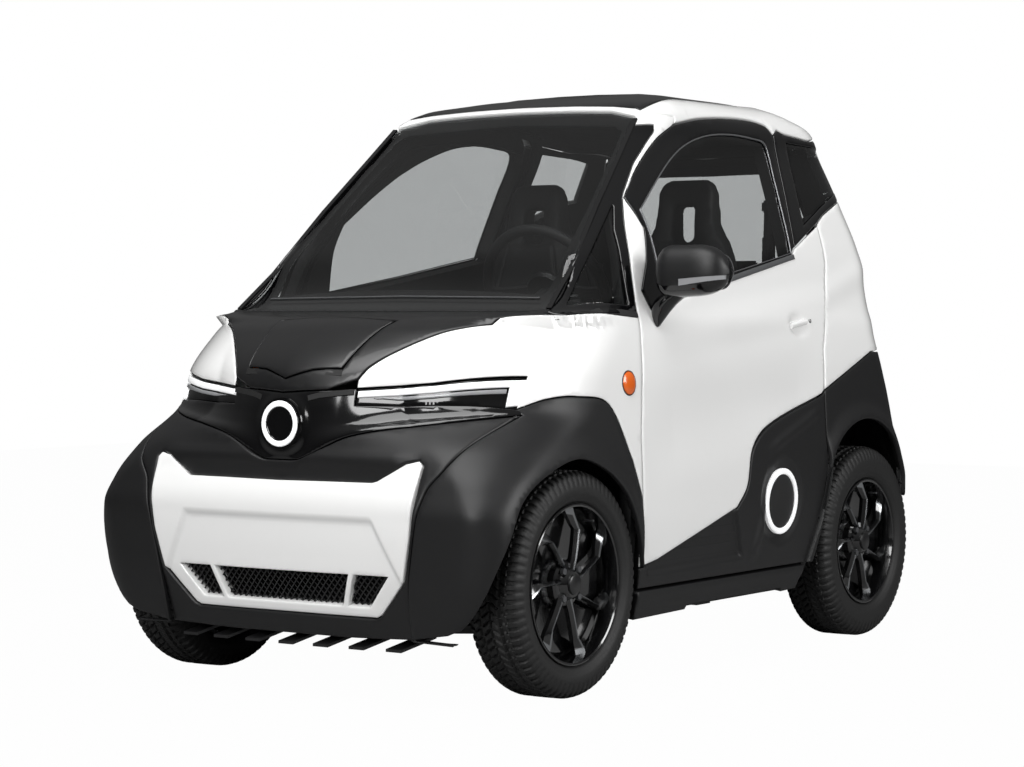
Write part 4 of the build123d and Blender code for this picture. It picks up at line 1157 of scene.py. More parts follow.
def cladding_shape(points):
    """The lower cladding: a wave round the ring, a long recess ahead of it and a bottom roll."""
    y, z = points[:, 1], points[:, 2]
    ring = np.hypot(y - RING_CENTRE[0], z - RING_CENTRE[1])
    bowl = -9 * soften(np.clip(ring - 92, 0, 200), 34)
    top = 0.31 * (y + 400) + 272
    recess = np.minimum(y + 405, top + 54 - z)
    recess = np.minimum(recess, z - (272 + (y + 400) * 0.02))
    recess = np.minimum(recess, 78 - y - (z - 300) * 0.35)
    dip = -9 * np.clip(recess / 7, 0, 1)
    wave = 7 * soften(np.abs(y - (150 + (z - 300) * 0.42)), 34)
    wave *= np.clip((560 - z) / 120, 0, 1) * np.clip((z - 262) / 50, 0, 1)
    crest = 5 * soften(np.abs(z - (560 + (y - 210) * 0.33)), 26)
    crest *= np.clip((y - 200) / 60, 0, 1) * np.clip((530 - y) / 60, 0, 1)
    return bowl + dip + wave + crest


def build_doors():
    white = on_side(
        DOOR_FRONT + PILLAR_LOW[1:] + POST + BELT_LINE[1:] + HOOK[1:] + DOOR_BACK[1:]
        + CLADDING_LINE[::-1][1:-1],
    )
    door_panel(
        "door_skin", [white], WHITE_SKIN, ("door_left", "door_right"), step=11, deep=6, gap=2.6,
        relief=door_folds,
    )
    frame = on_side(PILLAR_HIGH[1:] + DOOR_TOP[1:] + DOOR_REAR[1:] + BELT_LINE[::-1][1:-1] + POST[::-1])
    window = on_side(WINDOW)
    door_panel("door_window_frame", [frame, window], GLOSS_SKIN, step=12, deep=6, gap=2.6, inset=1.0)
    trim_outer = on_side([(y + (y - 130) * 0.012, z + (z - 1200) * 0.02) for y, z in WINDOW])
    door_panel(
        "window_trim", [trim_outer, window], GREY_TRIM, step=14, deep=3, gap=0.2, edge=0.8, inset=-0.6,
    )
    door_panel(
        "door_glass", [window], PANE, ("door_glass_left", "door_glass_right"), step=22, deep=5, gap=0.4,
        edge=0.8, inset=4.0,
    )
    low = on_side(CLADDING_LINE + DOOR_HEEL[1:] + [(0, 238), (-443, 238)])
    door_panel(
        "door_cladding", [low], CLADDING, ("door_cladding_left", "door_cladding_right"), step=7, deep=6,
        gap=2.6, relief=cladding_shape,
    )
    inner_edge = on_side([
        (-428, 250), (-428, 615), (-390, 918), (-370, 1060), (-340, 1140), (-292, 1218), (-194, 1300),
        (-72, 1380), (30, 1412), (190, 1430), (400, 1436), (522, 1416), (474, 1106), (500, 1086),
        (640, 1148), (632, 1074), (530, 829), (518, 605), (525, 500), (500, 415), (446, 302), (426, 250),
    ])
    hole = on_side([(y + (y - 130) * 0.02, z + (z - 1200) * 0.03) for y, z in WINDOW])
    door_panel("door_card", [inner_edge, hole], LINING, step=24, deep=36, gap=2.0, edge=1.0, inset=9.0)
    grey = [(96, 1031), (480, 1098), (484, 1084), (100, 1016)]
    door_panel("belt_strip", [on_side(grey)], GREY_TRIM, step=14, deep=4, gap=0.2, edge=1.0, inset=-2.4)
    # handle, lock plate and the empty ring; the ring glows faintly, a painted glow
    y, z = HANDLE
    at = on_side([(y - 46, z - 2), (y, z + 4), (y + 44, z + 9)])
    solid_pair("door_handle", tube(at - normals_at(at), 9.0, 12), WHITE, DOORS, "body_white")
    lock = on_side([(y + 70, z + 12)])[0]
    up = normal_at(lock)
    outline = [(0, 1.6), (3.0, 1.6), (3.2, 2.4), (7, 2.4), (8, 0), (8, -2), (0, -2)]
    solid_pair("door_lock", lathe(lock - up * 0.5, up, outline), CHASSIS, DOORS, "trim_black")
    middle = on_side([RING_CENTRE])[0]
    up = normal_at(middle)
    base = middle - up * 9.0
    ring = lathe(base, up, [(74, 0), (74, 8), (76, 10), (87, 10), (90, 8), (90, 0)], ring=True)
    solid_pair("door_ring", ring, LAMP_AND_PAINTED_GLOW_WHITE, DOORS, "body_white")
    disc = lathe(base, up, [(0, 4), (60, 4.5), (73, 5.5), (74, 5.5), (74, 0), (0, 0)])
    solid_pair("door_ring_disc", disc, BONNET_BLACK, DOORS, "trim_black")


MIRROR_IN, MIRROR_OUT = 594.0, 799.5
MIRROR_Y, MIRROR_Z = -330, 1034
MIRROR_FRONT, MIRROR_REAR = 50, 40  # reach of the shell ahead of its middle and behind it


def round_off(t, power):
    """1 up to t 0, then falling to 0 at t 1 like the end of an egg."""
    return math.sqrt(max(0.0, 1 - max(0.0, t) ** power))


def mirror_tip(x):
    """Size of the mirror shell at x, which rounds off towards its outer end."""
    return round_off(((x - MIRROR_IN) / (MIRROR_OUT - MIRROR_IN) - 0.55) / 0.45, 2.6)


def build_mirror():
    """The door mirror: a rounded cap with a darker glossy lower shell, a lamp strip and a curved foot."""
    rows, around = 15, 28
    rings = []
    for t in np.arange(rows + 1) / rows:
        x = MIRROR_IN + (MIRROR_OUT - MIRROR_IN) * t
        size = max(0.03, mirror_tip(x) * round_off((0.22 - t) / 0.22, 2.2))
        ring = []
        for a in circle(around):
            c, s = math.cos(a), math.sin(a)
            dy = (-MIRROR_FRONT if c < 0 else MIRROR_REAR) * abs(c) ** 0.75 * size
            tall = 71 if s > 0 else 66 * (1 - 0.18 * t)
            dz = tall * math.copysign(abs(s) ** 0.8, s) * (0.25 + 0.75 * size)
            ring.append((x, MIRROR_Y + dy, MIRROR_Z + dz * size ** 0.3))
        rings.append(ring)
    glossy = [int(math.sin(a + math.pi / around) < -0.35) for a in circle(around)]
    shell = make("mirror_shell", *lofted(rings), [SATIN, GLOSS], glossy * rows + [0, 0])
    place(crisp(shell, 50), "door_left", "trim_black", "mirror_left")
    outline = curve([
        (652, -42), (640, 0), (656, 44), (716, 52), (772, 40), (790, 0), (768, -40), (716, -47), (652, -42),
    ])[:-1]
    plate = slab([(x, 1036 + h) for x, h in outline], 1, -293, -289)
    solid("mirror_glass", plate, STEEL, "door_left", "gloss_black")
    # indicator: a strip wrapped round the outer front of the shell
    rings = []
    for t in np.arange(13) / 12:
        x, z, half = 682 + 114 * t, 1010 + 12 * t, 8.5 - 3.5 * t
        y = MIRROR_Y - 0.97 * MIRROR_FRONT * mirror_tip(x)
        front, back = y - 2.5, y + 5
        rings.append([(x, front, z + half), (x, front, z - half), (x, back, z - half), (x, back, z + half)])
    solid("mirror_indicator", lofted(rings), INDICATOR, "door_left", "lamp_clear")
    # foot: a curved arm narrowing to a point on the door skin
    foot_rows = [
        # x, y, z, half length along y, half height
        (574, -326, 915, 5, 22), (584, -326, 928, 18, 30), (598, -327, 944, 26, 29),
        (615, -328, 958, 28, 24), (636, -329, 971, 27, 18), (662, -330, 984, 24, 13),
        (690, -330, 992, 20, 9),
    ]
    rings = []
    for x, y, z, half, tall in foot_rows:
        turns = [(math.cos(a), math.sin(a)) for a in circle(14)]
        rings.append([(x - 0.27 * tall * s, y + half * c, z + tall * s) for c, s in turns])
    solid("mirror_foot", lofted(rings), GLOSS, "door_left", "gloss_black", degrees=60)


def build_marker():
    at = on_side([(-490, 759)])[0]
    up = normal_at(at)
    lens = lathe(at, up, [(0, 7.5), (12, 7.0), (22, 5.2), (28, 2.5), (29.5, 0), (29.5, -5), (0, -5)])
    rim = lathe(at, up, [(29.5, -5), (29.5, 1.5), (31.5, 1.5), (32, 0), (32, -5)], ring=True)
    solid("side_marker", both_sides(*lens)[:2], AMBER, "body", "lamp_red")
    solid("side_marker_rim", both_sides(*rim)[:2], CHASSIS, "body", "trim_black")


build_doors()
build_mirror()
build_marker()


# ---- tail ----------------------------------------------------------------------------------------
def build_tail():
    window = on_tail([(0, 1010), (378, 1010), (352, 1180), (300, 1380), (0, 1380)])

    def plate_well(points):
        x, z = np.abs(points[:, 0]), points[:, 2]
        well = np.minimum(268 - x, 66 - np.abs(z - 800))
        swage = 5 * soften(np.abs(z - 930), 40)
        return -11 * np.clip(well / 9, 0, 1) + swage

    low = on_tail([(0, 642), (436, 642), (436, 984), (0, 984)])
    high = on_tail([(0, 984), (436, 984), (436, 1096), (412, 1180), (392, 1253), (345, 1409), (0, 1409)])
    add_panel(
        "tailgate_skin", [whole(low)], (0, -1, 0), WHITE_SKIN, "tailgate", body="tailgate", step=12,
        deep=24, gap=1.6, relief=plate_well,
    )
    add_panel(
        "tailgate_surround", [whole(high), whole(window)], (0, -1, 0), GLOSS_SKIN, body="tailgate",
        step=12, deep=24, gap=1.6,
    )
    add_panel(
        "tailgate_glass_pane", [whole(window)], (0, -1, 0), PANE, "tailgate_glass", body="tailgate",
        step=24, deep=5, gap=0.6, edge=0.8, inset=4.0,
    )
    border = on_tail([(0, 1040), (352, 1040), (330, 1180), (282, 1352), (0, 1352)])
    add_panel(
        "tailgate_border", [whole(window), whole(border)], (0, -1, 0), PRINT, body="tailgate", step=20,
        deep=2, gap=1.0, edge=0.4, inset=9.6,
    )
    # the blank plate glows faintly with the light guide's finish: painted glow, no lamp
    plate = on_tail([(-258, 744), (258, 744), (258, 856), (-258, 856)])
    add_panel(
        "blank_plate", [plate], (0, -1, 0), (LAMP_AND_PAINTED_GLOW_WHITE, CABIN, "body_white"), body="tailgate", step=20,
        deep=2, gap=0.5, edge=0.6, inset=7.5,
    )
    grip = on_tail([(-120, 886), (120, 886), (120, 900), (-120, 900)])
    add_panel(
        "tailgate_grip", [grip], (0, -1, 0), GLOSS_SKIN, body="tailgate", step=12, deep=8, gap=0.5,
        edge=2.5, inset=-4.0,
    )
    reflector = on_tail([(300, 520), (400, 520), (400, 490), (300, 490)])
    add_panel(
        "rear_reflectors", [reflector], (0, -1, 0), RED_LENS, step=9, deep=6, gap=0.3, edge=1.5,
        inset=-2.0, mirrored=True,
    )
    # wiper on the rear window
    arm = on_tail([(-8, 1004), (60, 1030), (200, 1070)])
    blade = on_tail([(40, 1042), (140, 1062), (300, 1094)])
    wiper = merge(tube(arm + normals_at(arm) * 9, 4, 8), tube(blade + normals_at(blade) * 5, 3.2, 8))
    solid("rear_wiper", wiper, CHASSIS, "tailgate", "trim_black")


build_tail()


# ---- wheels --------------------------------------------------------------------------------------
TYRE_OUT, TYRE_IN = 618.0, 463.0  # faces of a tyre


def tyre_shape(tyre_r, rim_r):
    """Tread blocks, shoulder ribs and a ringed sidewall on one grid round the tyre."""
    middle = (TYRE_OUT + TYRE_IN) / 2
    half = (TYRE_OUT - TYRE_IN) / 2
    # (x from the middle, radius, part): 0 sidewall, 1 shoulder, 2 tread
    side = curve([
        (half - 16, rim_r + 1), (half - 8, rim_r + 8), (half - 1.5, rim_r + 22), (half, tyre_r - 44),
        (half - 3, tyre_r - 28), (half - 8, tyre_r - 15),
    ], count=3)
    section = [(x, r, 0) for x, r in side]
    section += [(half - x, tyre_r - r, 1) for x, r in ((12, 9), (17, 5.2), (23, 2.6), (28, 1.6))]
    for x in np.linspace(half - 30, -(half - 30), 25):
        section.append((x, tyre_r - 0.4 - 1.2 * (x / half) ** 2, 2))
    section += [(-x, r, p) for x, r, p in section[:len(side) + 4][::-1]]
    # the pattern repeats after each pitch
    pitches, per = 76, 7
    around = pitches * per
    points = []
    for i, a in enumerate(circle(around)):
        phase = (i / per) % 1.0
        for x, r, part in section:
            drop = 0.0
            if part == 2:
                if abs(abs(x) - 30) < 3.6 or abs(x) < 3.4:
                    drop = 6.5
                elif (phase + abs(x) / 34.0) % 1.0 < 0.24:
                    drop = 5.5
            elif part == 1:
                drop = 4.6 if phase < 0.38 else 0.0
            elif r > tyre_r - 34:
                drop = 2.6 if phase < 0.38 else 0.0
            elif abs(r - (rim_r + 15)) < 5:
                drop = -1.2
            if part < 2:
                x -= math.copysign(drop * 0.25, x)
            points.append((middle + x, (r - drop) * math.sin(a), (r - drop) * math.cos(a)))
    n = len(section)
    faces = []
    for i in range(around):
        j = (i + 1) % around
        for k in range(n - 1):
            faces.append((i * n + k, i * n + k + 1, j * n + k + 1, j * n + k))
    # inner lining closes the section onto the rim
    start = len(points)
    lining = [(-(half - 16), rim_r + 0.6), (half - 16, rim_r + 0.6)]
    for a in circle(around):
        for x, r in lining:
            points.append((middle + x, r * math.sin(a), r * math.cos(a)))
    for i in range(around):
        j = (i + 1) % around
        faces.append((i * n + n - 1, start + 2 * i, start + 2 * j, j * n + n - 1))
        faces.append((start + 2 * i, start + 2 * i + 1, start + 2 * j + 1, start + 2 * j))
        faces.append((start + 2 * i + 1, i * n, j * n, start + 2 * j + 1))
    return points, faces


def barrel_shape(rim_r):
    """The rim: a stepped barrel with a lip at the outer face."""
    outer, inner = 604.0, 477.0
    outline = [
        (inner, rim_r), (inner + 10, rim_r - 3), (inner + 26, rim_r - 6), (outer - 22, rim_r - 6),
        (outer - 10, rim_r - 3), (outer, rim_r), (outer + 4, rim_r - 1), (outer + 5, rim_r - 4),
        (outer + 3, rim_r - 8), (outer - 8, rim_r - 11), (outer - 24, rim_r - 15),
        (outer - 44, rim_r - 17), (inner + 30, rim_r - 15), (inner + 12, rim_r - 12), (inner, rim_r - 9),
    ]
    return spun(outline, 96, ring=True)


def spoke_shape(rim_r, turn):
    """One blade spoke: thin and straight from the hub, then bent into a broad tip at the rim."""
    tip = rim_r - 10
    hub_plane = 588
    # radius, offset across, half width, height of the face over the hub plane, thickness
    rows = [
        (34, 9, 10, 2, 26), (0.34 * tip, 9, 7, 5, 20), (0.55 * tip, 8, 6.5, 6, 20),
        (0.72 * tip, 7, 7.5, 6, 20), (0.78 * tip, -1, 16, 5, 20), (0.89 * tip, -14, 22, 2, 20),
        (tip + 1, -24, 26, -2, 18),
    ]
    ca, sa = math.cos(turn), math.sin(turn)
    rings = []
    for r, off, wide, lift, thick in rows:
        x = hub_plane + lift
        section = (
            (off - wide, x - 9), (off - wide * 0.35, x), (off - wide * 0.12, x + 3.5),
            (off + wide * 0.12, x + 1.5), (off + wide, x - 7), (off + wide * 0.86, x - thick),
            (off - wide * 0.86, x - thick),
        )
        rings.append([(height, across * ca + r * sa, r * ca - across * sa) for across, height in section])
    # the cut faces: the crown of the blade and, at its tip, its flanks
    kinds = [int(i in (1, 2) or (k == 5 and i in (0, 3))) for k in range(6) for i in range(7)]
    return *lofted(rings), kinds + [0, 0]


def build_wheels():
    sizes = (("front", *FRONT_AXLE, FRONT_RIM_R), ("rear", *REAR_AXLE, REAR_RIM_R))
    for corner, axle_y, tyre_r, rim_r in sizes:
        bodies = (f"wheel_{corner}_left", f"wheel_{corner}_right")
        tyres = (f"tyre_{corner}_left", f"tyre_{corner}_right")
        rims = (f"rim_{corner}_left", f"rim_{corner}_right")
        axle = (0.0, axle_y, tyre_r)
        tyre = moved(tyre_shape(tyre_r, rim_r), *axle)
        solid_pair(f"tyre_tread_{corner}", tyre, RUBBER, bodies, "tyre", tyres, degrees=28)
        spokes = [spoke_shape(rim_r, a + 0.2) for a in circle(7)]
        hub = spun(
            [(560, 0), (560, 58), (578, 58), (584, 52), (586, 40), (598, 34), (602, 30), (603, 0)], 48,
        )
        backing = spun([
            (548, 55), (556, 90), (560, rim_r - 30), (552, rim_r - 12), (548, rim_r - 12),
            (556, rim_r - 34), (552, 92), (544, 58),
        ], 64, ring=True)
        rest = (barrel_shape(rim_r), hub, backing)
        kinds = sum((spoke[2] for spoke in spokes), []) + [0] * sum(len(piece[1]) for piece in rest)
        wheel = moved(merge(*(spoke[:2] for spoke in spokes), *rest), *axle)
        finish = [WHEEL_BLACK, WHEEL_CUT]
        for obj in pair(f"wheel_{corner}", wheel, finish, bodies, "wheel_black", rims, kinds):
            crisp(obj, 25)
        disc = spun(
            [(507, 21), (507, 97), (519, 97), (519, 60), (540, 56), (560, 50), (560, 21)], 64, ring=True,
        )
        cap = spun([(602, 0), (602, 26), (606, 25), (608, 21), (608.5, 0)], 40)
        solid_pair(f"brake_disc_{corner}", moved(disc, *axle), STEEL, bodies, "axle_steel")
        solid_pair(f"hub_cap_{corner}", moved(cap, *axle), BONNET_BLACK, bodies, "wheel_black")
        head = spun([(588, 0), (588, 8.5), (597, 8.5), (598, 7.5), (598, 0)], 6)
        spots = [a + math.pi / 4 for a in circle(4)]
        bolts = [moved(head, 0.0, 47 * math.sin(a), 47 * math.cos(a)) for a in spots]
        valve = spun([(586, 0), (586, 3), (612, 3), (613, 2), (613, 0)], 8)
        bolts.append(moved(valve, -10.0, (rim_r - 24) * 0.5, (rim_r - 24) * 0.86))
        solid_pair(f"wheel_bolts_{corner}", moved(merge(*bolts), *axle), CAST, bodies, "axle_steel")


build_wheels()


# ---- sills, jambs and the tray under the nose ----------------------------------------------------
def build_lower():
    sill = on_side([
        (-441, 234), (444, 234), (430, 200), (410, 168), (330, 166), (320, 176), (-180, 176), (-190, 164),
        (-441, 160),
    ])
    add_panel(
        "sill_panels", [sill], (-1, 0, 0), CLADDING, "sills", step=12, deep=30, gap=1.0, edge=4.0,
        mirrored=True, relief=lambda p: 4 * soften(np.abs(p[:, 2] - 215), 22),
    )
    ring_out = [
        (-478, 206), (-478, 640), (-440, 935), (-417, 1063), (-388, 1150), (-336, 1243), (-230, 1334),
        (-96, 1420), (10, 1470), (185, 1496), (430, 1508), (600, 1484), (606, 1440), (545, 1166),
        (690, 1222), (716, 1200), (702, 1070), (596, 826), (584, 605), (590, 500), (560, 396), (500, 276),
        (470, 206),
    ]
    hole = [
        (-449, 232), (-449, 620), (-411, 926), (-392, 1065), (-362, 1148), (-313, 1233), (-212, 1320),
        (-87, 1402), (18, 1449), (185, 1474), (420, 1488), (582, 1460), (512, 1128), (684, 1196),
        (676, 1078), (570, 828), (557, 605), (564, 500), (535, 406), (476, 288), (450, 232),
    ]
    add_panel(
        "door_jambs", [on_side(ring_out), on_side(hole)], (-1, 0, 0), LINING, step=26, deep=30, gap=0.0,
        edge=1.0, inset=15.0, mirrored=True,
    )
    # slanted vanes under the lower edge of the bumper
    pieces = [block((-372, -1052, 158), (372, -960, 167), 2)]
    for k in range(7):
        x = -318 + k * 106.0
        y = -1062 - 22 * (1 - (x / 400) ** 2)
        vane = slab([(x - 34, y), (x + 12, y), (x + 62, y + 74), (x + 16, y + 74)], 2, 0, 7)
        tilted = [(p[0], p[1], p[2] + 126 + (p[1] - y) * 0.42) for p in vane[0]]
        pieces.append((tilted, vane[1]))
    solid("nose_vanes", merge(*pieces), CHASSIS, "body", "trim_black")


build_lower()


# ---- cabin ---------------------------------------------------------------------------------------
def rows_of(mesh, what):
    """A value of every vertex, three numbers a row."""
    values = np.empty(len(mesh.vertices) * 3)
    mesh.vertices.foreach_get(what, values)
    return values.reshape(-1, 3)


def pad(name, piece, stands_for, grooves, cap=14.0, voxel=8.5):
    """A stuffed cover: the form is swollen as cloth by at most cap, then its sewn lines are drawn in."""
    obj = face_out(make(name, *piece, [SEAT]))
    bpy.context.view_layer.objects.active = obj
    remesh = obj.modifiers.new("remesh", "REMESH")
    remesh.mode, remesh.voxel_size, remesh.use_smooth_shade = "VOXEL", voxel * MM, True
    bpy.ops.object.modifier_apply(modifier="remesh")
    before = rows_of(obj.data, "co")
    cloth = obj.modifiers.new("cloth", "CLOTH")
    cloth.settings.use_pressure = True
    cloth.settings.uniform_pressure_force = 4.0
    cloth.settings.effector_weights.gravity = 0.0
    cloth.settings.quality = 4
    cloth.collision_settings.use_collision = False
    for frame_number in range(1, 21):
        bpy.context.scene.frame_set(frame_number)
    bpy.ops.object.modifier_apply(modifier="cloth")
    bpy.context.scene.frame_set(1)
    move = rows_of(obj.data, "co") - before
    size = np.linalg.norm(move, axis=1, keepdims=True)
    move *= np.minimum(1.0, cap * MM / np.maximum(size, TINY))
    obj.data.vertices.foreach_set("co", (before + move).ravel())
    smooth = obj.modifiers.new("smooth", "SMOOTH")
    smooth.factor, smooth.iterations = 0.5, 4
    bpy.ops.object.modifier_apply(modifier="smooth")
    divide = obj.modifiers.new("divide", "SUBSURF")
    divide.levels = divide.render_levels = 1
    bpy.ops.object.modifier_apply(modifier="divide")
    mesh = obj.data
    co, normal = rows_of(mesh, "co"), rows_of(mesh, "normal")
    flat = co / MM - (SIDE_SHIFT, 0, 0)
    co -= normal * (grooves(flat, normal) * MM)[:, None]
    mesh.vertices.foreach_set("co", co.ravel())
    mesh.polygons.foreach_set("use_smooth", [True] * len(mesh.polygons))
    mesh.update()
    place(obj, "body", "seat_fabric", stands_for)


def cushion_form(x):
    """Seat cushion from side outline rings; it stands a little inside its final size."""
    half = [(196, 18), (186, 6), (120, 0), (60, 6)]
    rings = []
    for across, shrink in [(-a, s) for a, s in half] + half[::-1]:
        rings.append([
            (x + across, y, z) for y, z in (
                (-136 + shrink, 464), (-148 + shrink, 530 - shrink), (-128, 556 - shrink),
                (-90, 562 - shrink), (80, 556 - shrink), (280, 548 - shrink), (314, 530 - shrink),
                (318 - shrink, 464),
            )
        ])
    return lofted(rings)


def oblong(x0, x1, front, rear, z):
    """A level ring of four points."""
    return [(x0, front, z), (x1, front, z), (x1, rear, z), (x0, rear, z)]


def back_form(x):
    """Seat back with its headrest in one, open in a tall slot."""
    rings = []
    for z, half, front, rear in (
        (466, 196, 330, 424), (580, 204, 332, 424), (700, 204, 306, 425), (900, 202, 326, 428),
        (1000, 180, 338, 430), (1100, 146, 350, 432), (1142, 128, 356, 433),
    ):
        ends = ((-1, 12), (-0.55, 0), (0.55, 0), (1, 12))
        ring = [(x + half * share, front + back, z) for share, back in ends]
        ends = ((1, 8), (0.6, 0), (-0.6, 0), (-1, 8))
        rings.append(ring + [(x + half * share, rear - back, z) for share, back in ends])
    posts = []
    for way in (-1, 1):
        post = []
        for z, outer, front, rear in ((1138, 126, 357, 432), (1190, 98, 362, 429), (1250, 90, 366, 427)):
            a, b = sorted((way * 33, way * outer))
            post.append(oblong(x + a, x + b, front, rear, z))
        posts.append(lofted(post))
    sizes = ((1242, 90, 367, 427), (1280, 88, 370, 425), (1306, 78, 376, 420), (1318, 58, 384, 412))
    top = [oblong(x - half, x + half, front, rear, z) for z, half, front, rear in sizes]
    return merge(lofted(rings), *posts, lofted(top))


def groove(distance, width, deep):
    return deep * soften(np.abs(distance), width)


def build_seats():
    for x, side in ((SEAT_X, "left"), (-SEAT_X, "right")):

        def seams_cushion(p, n, x=x):
            top = np.clip(n[:, 2] * 2, 0, 1)
            d = np.abs(p[:, 0] - x)
            across = groove(p[:, 1] + 40, 6, 4) + groove(p[:, 1] - 120, 6, 4)
            border = groove(p[:, 2] - 520, 4, 3)
            return top * (groove(d - 128, 6, 5) + across * (d < 128)) + border * (1 - top)

        def seams_back(p, n, x=x):
            front = np.clip(-n[:, 1] * 2, 0, 1)
            d = np.abs(p[:, 0] - x)
            bolster = 128 - np.clip(p[:, 2] - 900, 0, 260) * 0.22
            across = groove(p[:, 2] - 800, 6, 4) + groove(p[:, 2] - 980, 6, 4)
            return front * (groove(d - bolster, 6, 5) * (p[:, 2] < 1130) + across * (d < bolster))

        pad(f"seat_cushion_{side}", cushion_form(x), "seat_cushions", seams_cushion)
        pad(f"seat_back_{side}", back_form(x), "seat_backs", seams_back, cap=9.0)
    rails = []
    for x in (-SEAT_X, SEAT_X):
        rails.append(block((x - 190, -120, 452), (x + 190, 310, 466), 4))
        rails.append(block((x - 200, 428, 470), (x + 200, 440, 1080), 5))
    solid("seat_shells", merge(*rails), CHASSIS, "body", "chassis_black")


def build_belts():
    straps, fittings = [], []
    shoulder_to_floor = [
        (448, 520, 1225), (452, 508, 1100), (462, 500, 900), (476, 498, 700), (480, 498, 560),
    ]
    for way in (-1, 1):
        line = np.array(curve(shoulder_to_floor)) * (way, 1, 1)
        face = np.tile((way * 0.96, -0.28, 0.0), (len(line), 1))
        side = unit(np.cross(face, unit(np.gradient(line, axis=0))))
        straps.append(band(line, side, face, 46, 1.1, 1.1))
        # tongue, its plate, upper guide and buckle: middle and half width, then y and height
        for x, half, low, high, cut in (
            (455, 16, (486, 1108), (500, 1150), 4), (452, 9, (478, 1060), (488, 1112), 3),
            (448, 26, (512, 1216), (532, 1252), 6), (60, 14, (270, 560), (300, 650), 6),
        ):
            fittings.append(block((way * x - half, *low), (way * x + half, *high), cut))
    solid("belt_straps", merge(*straps), BELT, "body", "seat_fabric")
    solid("belt_fittings", merge(*fittings), CHASSIS, "body", "cabin_plastic")


def build_dash():
    rings = []
    half = 508
    for x in np.linspace(-half, half, 33):
        hood = 26 * soften(np.array([abs(x - SEAT_X)]), 200)[0]
        ends = 24 * (abs(x) / half) ** 4
        section = curve([
            (-586, 904 - ends), (-560, 934), (-480, 958 + hood * 0.7), (-424, 956 + hood),
            (-404, 946 + hood), (-402, 925 + hood * 0.5), (-410, 905), (-400, 890), (-398, 850),
            (-412, 800), (-470, 716), (-584, 716),
        ], count=2)
        rings.append([(x, y, z) for y, z in section])
    solid("dashboard_shell", lofted(rings), CABIN, "body", "cabin_plastic", "dashboard", degrees=40)
    trims = [block((-70, -404, 872), (70, -390, 962), 4)]
    for x in (-450, -150, 110, 450):
        trims.append(block((x - 42, -410, 864), (x + 42, -398, 886), 4))
    solid("dash_vents_and_screen", merge(*trims), GLOSS, "body", "gloss_black")
    legs = [block((x - 20, -550, 649), (x + 20, -510, 722), 4) for x in (-400, 400)]
    column = tube([STEERING_CENTRE - STEERING_AXIS * down for down in (2, 60, 148)], 20, 20)
    solid("steering_column", merge(column, *legs), CABIN, "body", "cabin_plastic")
    root = STEERING_CENTRE - STEERING_AXIS * 44
    stalks = []
    for side in (-1, 1):
        stalks.append(tube([root, root + (side * 90, -4, 8), root + (side * 118, 6, 10)], 6, 10))
    solid("column_stalks", merge(*stalks), CHASSIS, "body", "cabin_plastic")


def build_steering_wheel():
    axis, centre = STEERING_AXIS, STEERING_CENTRE
    u = np.array([1.0, 0, 0])
    v = np.cross(axis, u)
    ring = [centre + 180 * (u * math.cos(t) + v * math.sin(t)) for t in circle(64)]
    pieces = [tube(ring, 14.5, 14, closed=True)]
    down = -v if v[2] > 0 else v
    for d, wide in ((u, 26), (-u, 26), (down, 34)):
        s = np.cross(axis, d)
        spoke = []
        sections = ((40, 0.9, 12, 0), (90, 0.6, 8, 4), (140, 0.5, 7, 3), (172, 0.6, 7, 0))
        for r, share, thick, lift in sections:
            p = centre + d * r + axis * lift
            across, up = s * wide * share, axis * thick
            spoke.append([p + across + up, p - across + up, p - across - up, p + across - up])
        pieces.append(lofted(spoke))
    place(
        crisp(make("steering_wheel_rim", *merge(*pieces), [CABIN]), 45), "steering_wheel", "cabin_plastic",
        "steering_wheel",
    )
    outline = [(0, 22), (30, 22), (50, 18), (60, 8), (62, -2), (54, -12), (16, -12), (16, -4), (0, -4)]
    solid("steering_wheel_pad", lathe(centre, axis, outline, 48), SATIN, "steering_wheel", "cabin_plastic")


def build_mats():
    pieces = [block((x - 170, -400, 206), (x + 170, -150, 213), 3) for x in (-SEAT_X, SEAT_X)]
    pieces.append(block((-26, -420, 206), (26, 250, 300), 12))
    solid("floor_mats", merge(*pieces), SEAT, "body", "cabin_plastic")
    pedals = []
    for x, wide in ((215, 34), (300, 24)):
        pedals.append(block((x - wide, -420, 330), (x + wide, -408, 400), 4))
        pedals.append(tube([(x, -430, 560), (x, -426, 480), (x, -416, 380)], 6, 10))
    solid("pedals", merge(*pedals), CAST, "body", "axle_steel")


build_seats()
build_belts()
build_dash()
build_steering_wheel()
build_mats()


# ---- running gear --------------------------------------------------------------------------------
def coil(x, y, radius, low, high, turns, wire):
    """A spring round the upright through x and y."""
    per = 20
    line = []
    for k in range(turns * per + 1):
        a = 2 * math.pi * k / per
        z = low + (high - low) * k / (turns * per)
        line.append((x + radius * math.cos(a), y + radius * math.sin(a), z))
    return tube(line, wire, 8)


def build_springs():
    springs = []
    for way in (-1, 1):
        springs.append(coil(way * 380, -668, 40, 549, 636, 4, 5.5))
        springs.append(coil(way * 300, 808, 46, 318, 640, 7, 6.5))
    solid("springs", merge(*springs), CAST, "body", "axle_steel", degrees=60)


build_springs()

# finish of the nodes that show as they are
KEPT = {
    "floor_pan": FLOOR_STEEL, "front_wheelhouses": CABIN, "rear_wheelhouses": CABIN, "boot_floor": CABIN,
    "battery_packs": PACK, "front_suspension": CHASSIS, "rear_suspension": CHASSIS, "knuckle_left": CAST,
    "knuckle_right": CAST,
}
for name, material in KEPT.items():
    mesh = frame["nodes"][name].data
    mesh.materials.clear()
    mesh.materials.append(material)


